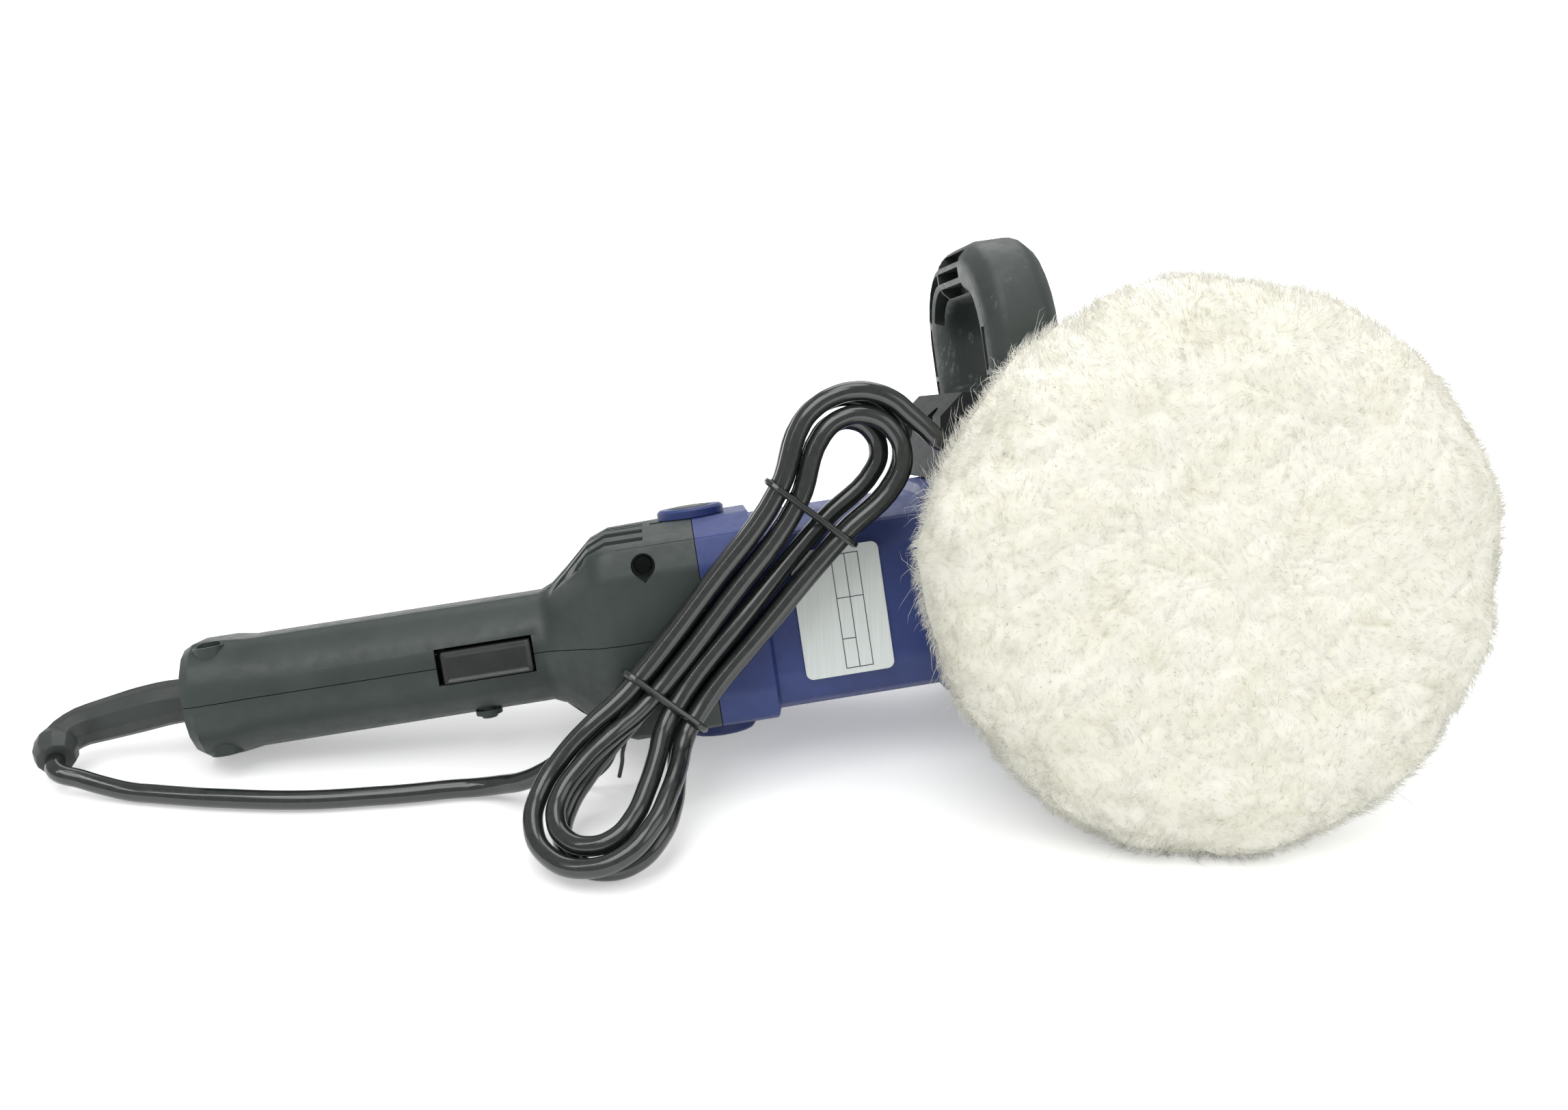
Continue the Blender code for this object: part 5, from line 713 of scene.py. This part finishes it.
def fleece_grid():
    """Points of the pile's surface and the ways it faces, row by row."""
    profile = fleece_profile()
    run = np.gradient(profile, axis=0)
    run /= np.linalg.norm(run, axis=1)[:, None]
    angles = 2 * np.pi * np.arange(FLEECE_ROUND) / FLEECE_ROUND
    c, s = np.cos(angles), np.sin(angles)
    places = np.empty((FLEECE_STEPS, FLEECE_ROUND, 3))
    ways = np.empty_like(places)
    for step, (radius, level) in enumerate(profile):
        places[step] = np.stack([radius * c, np.full_like(c, level), radius * s], axis=1)
        out, up = run[step][1], -run[step][0]
        ways[step] = np.stack([out * c, np.full_like(c, up), out * s], axis=1)
    for step in range(FLEECE_STEPS):
        hold = min(1.0, (FLEECE_STEPS - 1 - step) / 8)
        for i in range(FLEECE_ROUND):
            places[step, i] += ways[step, i] * pile_height(Vector(places[step, i])) * hold
    return places, ways


def above_floor(points):
    """Tool points in the world, pressed flat where they meet the floor."""
    turn = np.array(TOOL.to_3x3())
    world = points @ turn.T + np.array(TOOL.translation)
    low = world[:, 2] < FLOOR_CLEAR
    world[low, 2] = FLOOR_CLEAR
    return world


def mesh_piece(name, points, faces):
    mesh = bpy.data.meshes.new(name)
    mesh.from_pydata([tuple(p) for p in points], [], faces)
    piece = bpy.data.objects.new(name, mesh)
    bpy.context.scene.collection.objects.link(piece)
    return piece


def make_fleece(places):
    angles = 2 * np.pi * np.arange(FLEECE_ROUND) / FLEECE_ROUND
    c, s = np.cos(angles), np.sin(angles)
    rows = [places[step] for step in range(FLEECE_STEPS)]
    lining = ((0.0735, WOOL_BACK - 0.0034), (WOOL_INNER, WOOL_BACK - 0.0048), (WOOL_INNER, WOOL_SEAT))
    for radius, level in lining:
        rows.append(np.stack([radius * c, np.full_like(c, level), radius * s], axis=1))
    faces = []
    for row in range(len(rows) - 1):
        for i in range(FLEECE_ROUND):
            j = (i + 1) % FLEECE_ROUND
            a, b = row * FLEECE_ROUND, (row + 1) * FLEECE_ROUND
            faces.append((a + i, b + i, b + j, a + j))
    faces.append(tuple(range(FLEECE_ROUND)))
    last = (len(rows) - 1) * FLEECE_ROUND
    faces.append(tuple(last + i for i in range(FLEECE_ROUND)))
    fleece = mesh_piece("wool_fleece", above_floor(np.concatenate(rows)), faces)
    edit(fleece)
    bpy.ops.mesh.normals_make_consistent(inside=False)
    leave()
    pick(fleece)
    bpy.ops.object.shade_smooth()
    dressed(fleece, "spindle", "wool", "wool_bonnet")


def unit(vectors):
    return vectors / np.maximum(np.linalg.norm(vectors, axis=-1, keepdims=True), 1e-9)


def rooted(draw, count, places, ways):
    """Random places on the pile, the ways they face and how near the rim they are."""
    radius = np.hypot(places[:, 0, 0], places[:, 0, 2])
    rim = np.clip(np.hypot(ways[:, 0, 0], ways[:, 0, 2]), 0, 1)
    weight = radius * (1.0 + 0.5 * rim)
    weight[-6:] = 0
    step = draw.choice(FLEECE_STEPS, count, p=weight / weight.sum())
    around = draw.integers(0, FLEECE_ROUND, count)
    out = ways[step, around]
    stray = draw.normal(size=(count, 3)) * 0.0005
    stray -= out * (stray * out).sum(axis=1, keepdims=True)
    return places[step, around] + stray, out, rim[step][:, None]


def make_fibres(name, draw, places, ways):
    """Single fine hairs, each a closed taper, combed one way with their neighbours."""
    root, out, rim = rooted(draw, FIBRES, places, ways)
    comb = np.array([noise.noise_vector(Vector(p) * 38.0) for p in root])
    comb += 0.5 * np.array([noise.noise_vector(Vector(p) * 130.0) for p in root])
    comb -= out * (comb * out).sum(axis=1, keepdims=True)
    stand = (0.0019 + 0.0022 * rim) * draw.uniform(0.5, 1.3, (FIBRES, 1))
    wisp = (root[:, :1] < -0.02) & (root[:, 2:] > 0.03) & (rim > 0.4)
    loose = np.where(draw.random((FIBRES, 1)) < np.where(wisp, 0.05, 0.012), 2.4, 1.0)
    foot = root - out * 0.0012
    bend = root + out * stand * 0.5 * loose
    end = root + (out * (0.34 + 0.3 * rim) + unit(comb) * 0.95) * stand * loose
    end += draw.normal(size=(FIBRES, 3)) * 0.0005 * loose
    wave = draw.normal(size=(FIBRES, 3)) * 0.0003 * loose
    middles = []
    for t in FIBRE_ALONG:
        curve = (1 - t) ** 2 * foot + 2 * t * (1 - t) * bend + t * t * end
        middles.append(curve + wave * math.sin(2 * math.pi * t))
    middles = np.stack(middles, axis=1)
    along = unit(np.gradient(middles, axis=1))
    side = unit(np.cross(along, unit(draw.normal(size=(FIBRES, 1, 3)))))
    up = np.cross(along, side)
    thick = draw.uniform(0.7, 1.3, (FIBRES, 1))
    rings = []
    for k, width in enumerate(FIBRE_WIDTH):
        for turn in (0.0, 2 * math.pi / 3, 4 * math.pi / 3):
            way = side[:, k] * math.cos(turn) + up[:, k] * math.sin(turn)
            rings.append(middles[:, k] + way * width * thick)
    rings.append(middles[:, -1])
    points = np.stack(rings, axis=1).reshape(-1, 3)
    one = [(2, 1, 0), (6, 7, 9), (7, 8, 9), (8, 6, 9)]
    for a in (0, 3):
        one += [(a, a + 1, a + 4, a + 3), (a + 1, a + 2, a + 5, a + 4), (a + 2, a, a + 3, a + 5)]
    count = len(rings)
    faces = [tuple(i * count + v for v in face) for i in range(FIBRES) for face in one]
    fibres = mesh_piece(name, above_floor(points), faces)
    pick(fibres)
    bpy.ops.object.shade_smooth()
    dressed(fibres, "spindle", "wool")


def make_wool():
    noise.seed_set(WOOL_SEED)
    places, ways = fleece_grid()
    make_fleece(places)
    draw = np.random.default_rng(WOOL_SEED)
    for i in range(FIBRE_PIECES):
        make_fibres(f"wool_fibres_{i + 1}", draw, places, ways)


# Pieces that keep a node's shape, with moulded edges

EDGES = {
    "handle_left_shell": 0.0007,
    "handle_right_shell": 0.0007,
    "motor_housing": 0.0009,
    "brush_collar_left": 0.0007,
    "brush_collar_right": 0.0007,
    "brush_cap_left": 0.0004,
    "brush_cap_right": 0.0004,
    "gear_housing": 0.0012,
    "spindle_bearing_cover": 0.0010,
    "handle_bracket": 0.0009,
    "d_handle": 0.0008,
    "handle_bolt_near": 0.0004,
    "handle_bolt_far": 0.0004,
    "trigger": 0.0009,
    "lock_button": 0.0004,
    "spindle_lock_button": 0.0006,
    "speed_dial": 0.0003,
    "backing_pad": 0.0012,
    "rating_plate": 0.0002,
    "plug": 0.0007,
    "strain_relief": 0.0005,
    "hank_tie_lower": 0.0002,
    "hank_tie_upper": 0.0002,
    "shell_screw_lower": 0.0003,
    "shell_screw_upper": 0.0003,
    "shell_screw_rear": 0.0003,
}


POCKET_ROWS = (0.0064, 0.0, -0.0064)
POCKET_HALF = 0.0021
POCKET_DEPTH = 0.009


def cut_grip_pockets(grip):
    """Rows of moulded pockets in the grip's rear face: along its top, round the far corner and down."""
    rear = LOOP_X - BAR_WIDTH / 2
    ends = (rear - 0.001, rear + POCKET_DEPTH)
    half = (LOOP_WIDTH - BAR_HEIGHT) / 2
    high = LOOP_LOW + LOOP_HEIGHT - BAR_HEIGHT / 2
    bend_y = LOOP_Y + half - LOOP_TOP_RADIUS
    bend_z = high - LOOP_TOP_RADIUS

    def straight(low_y, high_y, low_z, high_z):
        low, top = (ends[0], low_y, low_z), (ends[1], high_y, high_z)
        carve(grip, block("pocket", low, top, LOOP))

    for row, stop in zip(POCKET_ROWS, (13, 24, 28)):
        z = high + row
        straight(LOOP_Y - 0.018, bend_y + 0.0003, z - POCKET_HALF, z + POCKET_HALF)
        radius = LOOP_TOP_RADIUS + row
        radii = (radius - POCKET_HALF, radius + POCKET_HALF)
        carve(grip, bent_block("pocket", (bend_y, bend_z), radii, (stop, 86), ends, LOOP))
    for row, top in zip(POCKET_ROWS[:2], (bend_z + 0.006, bend_z + 0.0085)):
        y = LOOP_Y + half + row
        straight(y - POCKET_HALF, y + POCKET_HALF, LOOP_LOW + 0.029, top)
        straight(y - POCKET_HALF, y + POCKET_HALF, LOOP_LOW + 0.014, LOOP_LOW + 0.027)
    y = LOOP_Y - half
    straight(y - POCKET_HALF, y + POCKET_HALF, LOOP_LOW + 0.029, bend_z + 0.0045)
    straight(y - POCKET_HALF, y + POCKET_HALF, LOOP_LOW + 0.014, LOOP_LOW + 0.027)


GROOVE_HALF = 0.0005
GROOVE_DEPTH = 0.0008


def cut_crease(piece, low_x, high_x, half):
    """A fine groove along both creases of a housing of that half size."""
    for sign in (1, -1):
        y = -half + LEAN_CUT_Y
        z = sign * (half - LEAN_DROP)
        low = (low_x, y - GROOVE_HALF, min(z - sign * GROOVE_DEPTH, z + sign * 0.002))
        high = (high_x, y + GROOVE_HALF, max(z - sign * GROOVE_DEPTH, z + sign * 0.002))
        carve(piece, block("crease", low, high, TOOL))


SHOULDER_STEPS = ((0.16, 0.10), (0.42, 0.42), (0.75, 0.86), (1.0, 1.0))
VENT_FIRST = -0.0295
VENT_STEP = 0.0096
VENT_COUNT = 4
VENT_END = -0.200
CHANNEL_HALF = 0.0022
CHANNEL_DEPTH = 0.0021
TRIGGER_ENDS = (-0.2827, -0.2483)
TRIGGER_HALF = 0.0062
SCREW_PLACE = (-0.2005, 0.0286)
SCREW_RADIUS = 0.0046


def cut_vent_channels(shell, sign):
    """Shallow channels that carry the vents down the shoulder to its foot."""
    for i in range(VENT_COUNT):
        y = VENT_FIRST + i * VENT_STEP
        reach = COVER_HALF - LEAN_CUT_Y - LEAN_FROM
        lean = LEAN_DROP * max(0.0, -y - LEAN_FROM) / reach
        rise = COVER_HALF - GRIP_HALF_WIDTH - lean
        length = COVER_REAR - GRIP_FRONT
        route = [(GRIP_FRONT + along * length, GRIP_HALF_WIDTH + rise * share) for along, share in SHOULDER_STEPS]
        route.append((VENT_END, COVER_HALF - lean))
        for (x0, z0), (x1, z1) in zip(route[:-1], route[1:]):
            slope = math.atan2(z1 - z0, x1 - x0)
            run = math.hypot(x1 - x0, z1 - z0)
            place = Matrix.Translation((x0, y, sign * z0)) @ Matrix.Rotation(-slope * sign, 4, "Y")
            depths = sorted((-CHANNEL_DEPTH * sign, 0.004 * sign))
            low = (-0.0006, -CHANNEL_HALF, depths[0])
            high = (run + 0.0006, CHANNEL_HALF, depths[1])
            carve(shell, block("channel", low, high, TOOL @ place))


def shape_shell(shell, sign):
    cut_crease(shell, COVER_REAR + 0.004, MOTOR_REAR + 0.001, COVER_HALF)
    cut_vent_channels(shell, sign)
    rear, front = TRIGGER_ENDS
    low = (rear - 0.0024, -GRIP_HALF_DEPTH - 0.002, -TRIGGER_HALF - 0.0006)
    carve(shell, block("gap", low, (rear + 0.001, -0.0165, TRIGGER_HALF + 0.0012), TOOL))


def shape_left_shell(shell):
    shape_shell(shell, -1)


def shape_right_shell(shell):
    """The seen side: its catch, a finger's room above the trigger and the screw's pointed recess."""
    shape_shell(shell, 1)
    low = (MOTOR_REAR - 0.0165, -0.0125, COVER_HALF - 0.0012)
    high = (MOTOR_REAR - 0.0115, -0.0045, COVER_HALF + 0.001)
    carve(shell, block("catch", low, high, TOOL))
    rear, front = TRIGGER_ENDS
    low = (rear - 0.0024, -GRIP_HALF_DEPTH - 0.002, TRIGGER_HALF - 0.001)
    carve(shell, block("gap", low, (front + 0.0006, -0.0185, TRIGGER_HALF + 0.0012), TOOL))
    x, z = SCREW_PLACE
    down = SCREW_RADIUS * math.sqrt(2) / 2
    place = Matrix.Translation((x, 0, z - down)) @ Matrix.Rotation(math.radians(45), 4, "Y")
    half = SCREW_RADIUS / 2
    carve(shell, block("point", (-half, -0.046, -half), (half, -0.0345, half), TOOL @ place))


def shape_motor(housing):
    cut_crease(housing, MOTOR_REAR - 0.001, MOTOR_REAR + BAND_LENGTH - 0.0004, COVER_HALF)
    cut_crease(housing, MOTOR_REAR + BAND_LENGTH + 0.002, MOTOR_FRONT - 0.012, MOTOR_HALF)


def faces_along(piece, way):
    """Selects the faces that look one way, in edit mode's terms, and counts them."""
    edit(piece)
    bpy.ops.mesh.select_all(action="DESELECT")
    bpy.ops.mesh.select_mode(type="FACE")
    leave()
    found = [face for face in piece.data.polygons if face.normal.dot(way) > 0.98]
    for face in found:
        face.select = True
    bpy.ops.object.mode_set(mode="EDIT")
    return len(found)


def shape_trigger(trigger):
    """Dishes the finger face inside a narrow rim."""
    down = -TOOL.col[1].to_3d()
    if faces_along(trigger, down):
        bpy.ops.mesh.inset(thickness=0.0017, depth=0.0)
        bpy.ops.transform.translate(value=-down * 0.0012)
    leave()


def shape_plate(plate):
    """Rounds the plate's corners."""
    thin = TOOL.col[1].to_3d()
    edit(plate)
    bpy.ops.mesh.select_all(action="DESELECT")
    bpy.ops.mesh.select_mode(type="EDGE")
    leave()
    for edge in plate.data.edges:
        a, b = (plate.data.vertices[i].co for i in edge.vertices)
        edge.select = abs((a - b).normalized().dot(thin)) > 0.98
    bpy.ops.object.mode_set(mode="EDIT")
    bpy.ops.mesh.bevel(offset=0.0028, segments=5, affect="EDGES")
    leave()


OWN_LOOKS = {
    "handle_bracket": "dark_casting",
    "d_handle": "scuffed_plastic",
    "trigger": "trigger_plastic",
    # The shell screws get steel painted near black, as painted shade for their recesses.
    "shell_screw_lower": "steel_with_painted_recess_shade",
    "shell_screw_upper": "steel_with_painted_recess_shade",
    "shell_screw_rear": "steel_with_painted_recess_shade",
}
BOOT_GAIN = 0.0006
BOOT_SWELL = 0.0012
TIE_GAIN = 0.0004


def shape_boot(boot):
    """Fills the boot out to its moulded skin, most where it bends."""
    low, high = tool_box(boot)
    back = TOOL.inverted()
    for vertex in boot.data.vertices:
        share = (GRIP_END - (back @ vertex.co).x) / (GRIP_END - low.x)
        swell = math.sin(math.pi * min(1.0, max(0.0, share)))
        vertex.co += vertex.normal * (BOOT_GAIN + BOOT_SWELL * swell)


def shape_tie(tie):
    """Fills a tie out to its coated wire."""
    edit(tie)
    bpy.ops.transform.shrink_fatten(value=TIE_GAIN)
    leave()


SHAPING = {
    "strain_relief": shape_boot,
    "hank_tie_lower": shape_tie,
    "hank_tie_upper": shape_tie,
    "d_handle": cut_grip_pockets,
    "handle_left_shell": shape_left_shell,
    "handle_right_shell": shape_right_shell,
    "motor_housing": shape_motor,
    "trigger": shape_trigger,
    "rating_plate": shape_plate,
}


def make_moulded_pieces():
    made = {}
    for node, width in EDGES.items():
        piece = copy_of(node, f"{node}_piece")
        if node in SHAPING:
            SHAPING[node](piece)
        round_edges(piece, width)
        if node in OWN_LOOKS:
            piece.data.materials.append(LOOKS[OWN_LOOKS[node]])
        made[node] = dressed(piece, body_of(node), SLOTS[node], node)
    return made


# Springs: each sits between the housing and the part it returns; here they are copied as they stand, smooth
# shaded, and follow no body

SPRINGS = {
    "trigger_spring": ("trigger", (0, -1, 0)),
    "spindle_lock_spring": ("spindle_lock", (1, 0, 0)),
}


def make_springs():
    for node, (body, way) in SPRINGS.items():
        piece = copy_of(node, f"{node}_piece")
        way = Vector(way)
        pick(piece)
        bpy.ops.object.shade_smooth_by_angle(angle=math.radians(40))
        piece.data.materials.append(LOOKS[SLOTS[node]])
        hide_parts(node)
        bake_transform(piece)


# Small trim

RULES_ALONG = (0.46, 0.61, 0.76)
RULES_ACROSS = (0.06, 0.40, 0.72, 0.95)
RULE_HALF = 0.00018
RULE_HEIGHT = 0.00006


def make_plate_rules(plate):
    """A ruled table with nothing in it, printed on the plate."""
    low, high = tool_box(plate)
    top = low.y
    size = high - low
    strips = []
    z_ends = [high.z - size.z * share for share in (RULES_ACROSS[-1], RULES_ACROSS[0])]
    for share in RULES_ALONG:
        x = low.x + size.x * share
        strips.append(((x - RULE_HALF, z_ends[0] - RULE_HALF), (x + RULE_HALF, z_ends[1] + RULE_HALF)))
    x_ends = [low.x + size.x * share for share in (RULES_ALONG[0], RULES_ALONG[-1])]
    for share in RULES_ACROSS:
        z = high.z - size.z * share
        strips.append(((x_ends[0], z - RULE_HALF), (x_ends[1], z + RULE_HALF)))
    rules = None
    for (x0, z0), (x1, z1) in strips:
        strip = block("plate_rules", (x0, top - RULE_HEIGHT, z0), (x1, top + RULE_HEIGHT, z1), TOOL)
        if rules is None:
            rules = strip
        else:
            finish_with(rules, "BOOLEAN", operation="UNION", solver="EXACT", object=strip)
            bpy.data.objects.remove(strip, do_unlink=True)
    rules.name = "plate_rules"
    rules.data.materials.clear()
    rules.data.materials.append(
        grained_plastic("rule_ink", (0.06, 0.065, 0.07), (0.10, 0.105, 0.11), 0.45, 0.6)
    )
    dressed(rules, "housing", "plate_silver")


def make_button_collar():
    """A low collar round the lock button, on the handle's left face."""
    joint = JOINTS["lock_press"]
    button = tool_box(frame["nodes"]["lock_button"])
    middle = (button[0] + button[1]) / 2
    bpy.ops.object.select_all(action="DESELECT")
    bpy.ops.mesh.primitive_cylinder_add(vertices=40, radius=0.0052, depth=0.0022)
    collar = bpy.context.object
    collar.name = "lock_button_collar"
    if faces_along(collar, Vector((0, 0, 1))) + 0 and faces_both_ends(collar):
        bpy.ops.mesh.inset(thickness=0.0014, use_individual=True)
        bpy.ops.mesh.bridge_edge_loops()
        bpy.ops.mesh.select_all(action="SELECT")
        bpy.ops.mesh.normals_make_consistent(inside=False)
    leave()
    place = Matrix.Translation((middle.x, middle.y, -GRIP_HALF_WIDTH - 0.0005))
    set_down(collar, TOOL @ place)
    round_edges(collar, 0.0004)
    dressed(collar, "housing", "black_plastic")


def faces_both_ends(piece):
    """Selects the two end faces of a piece that stands along its own Z."""
    leave()
    found = [face for face in piece.data.polygons if abs(face.normal.z) > 0.98]
    for face in found:
        face.select = True
    bpy.ops.object.mode_set(mode="EDIT")
    return len(found)


def finish_nodes():
    for node, obj in frame["nodes"].items():
        obj.data.materials.clear()
        obj.data.materials.append(LOOKS[SLOTS[node]])


bpy.context.scene.view_settings.view_transform = "Standard"
LOOKS = make_looks()
add_camera()
CORD = make_cord()
add_floor()
add_light()
finish_nodes()
PIECES = make_moulded_pieces()
make_plate_rules(PIECES["rating_plate"])
make_springs()
make_button_collar()
ENDS = make_tie_ends()
make_wool()
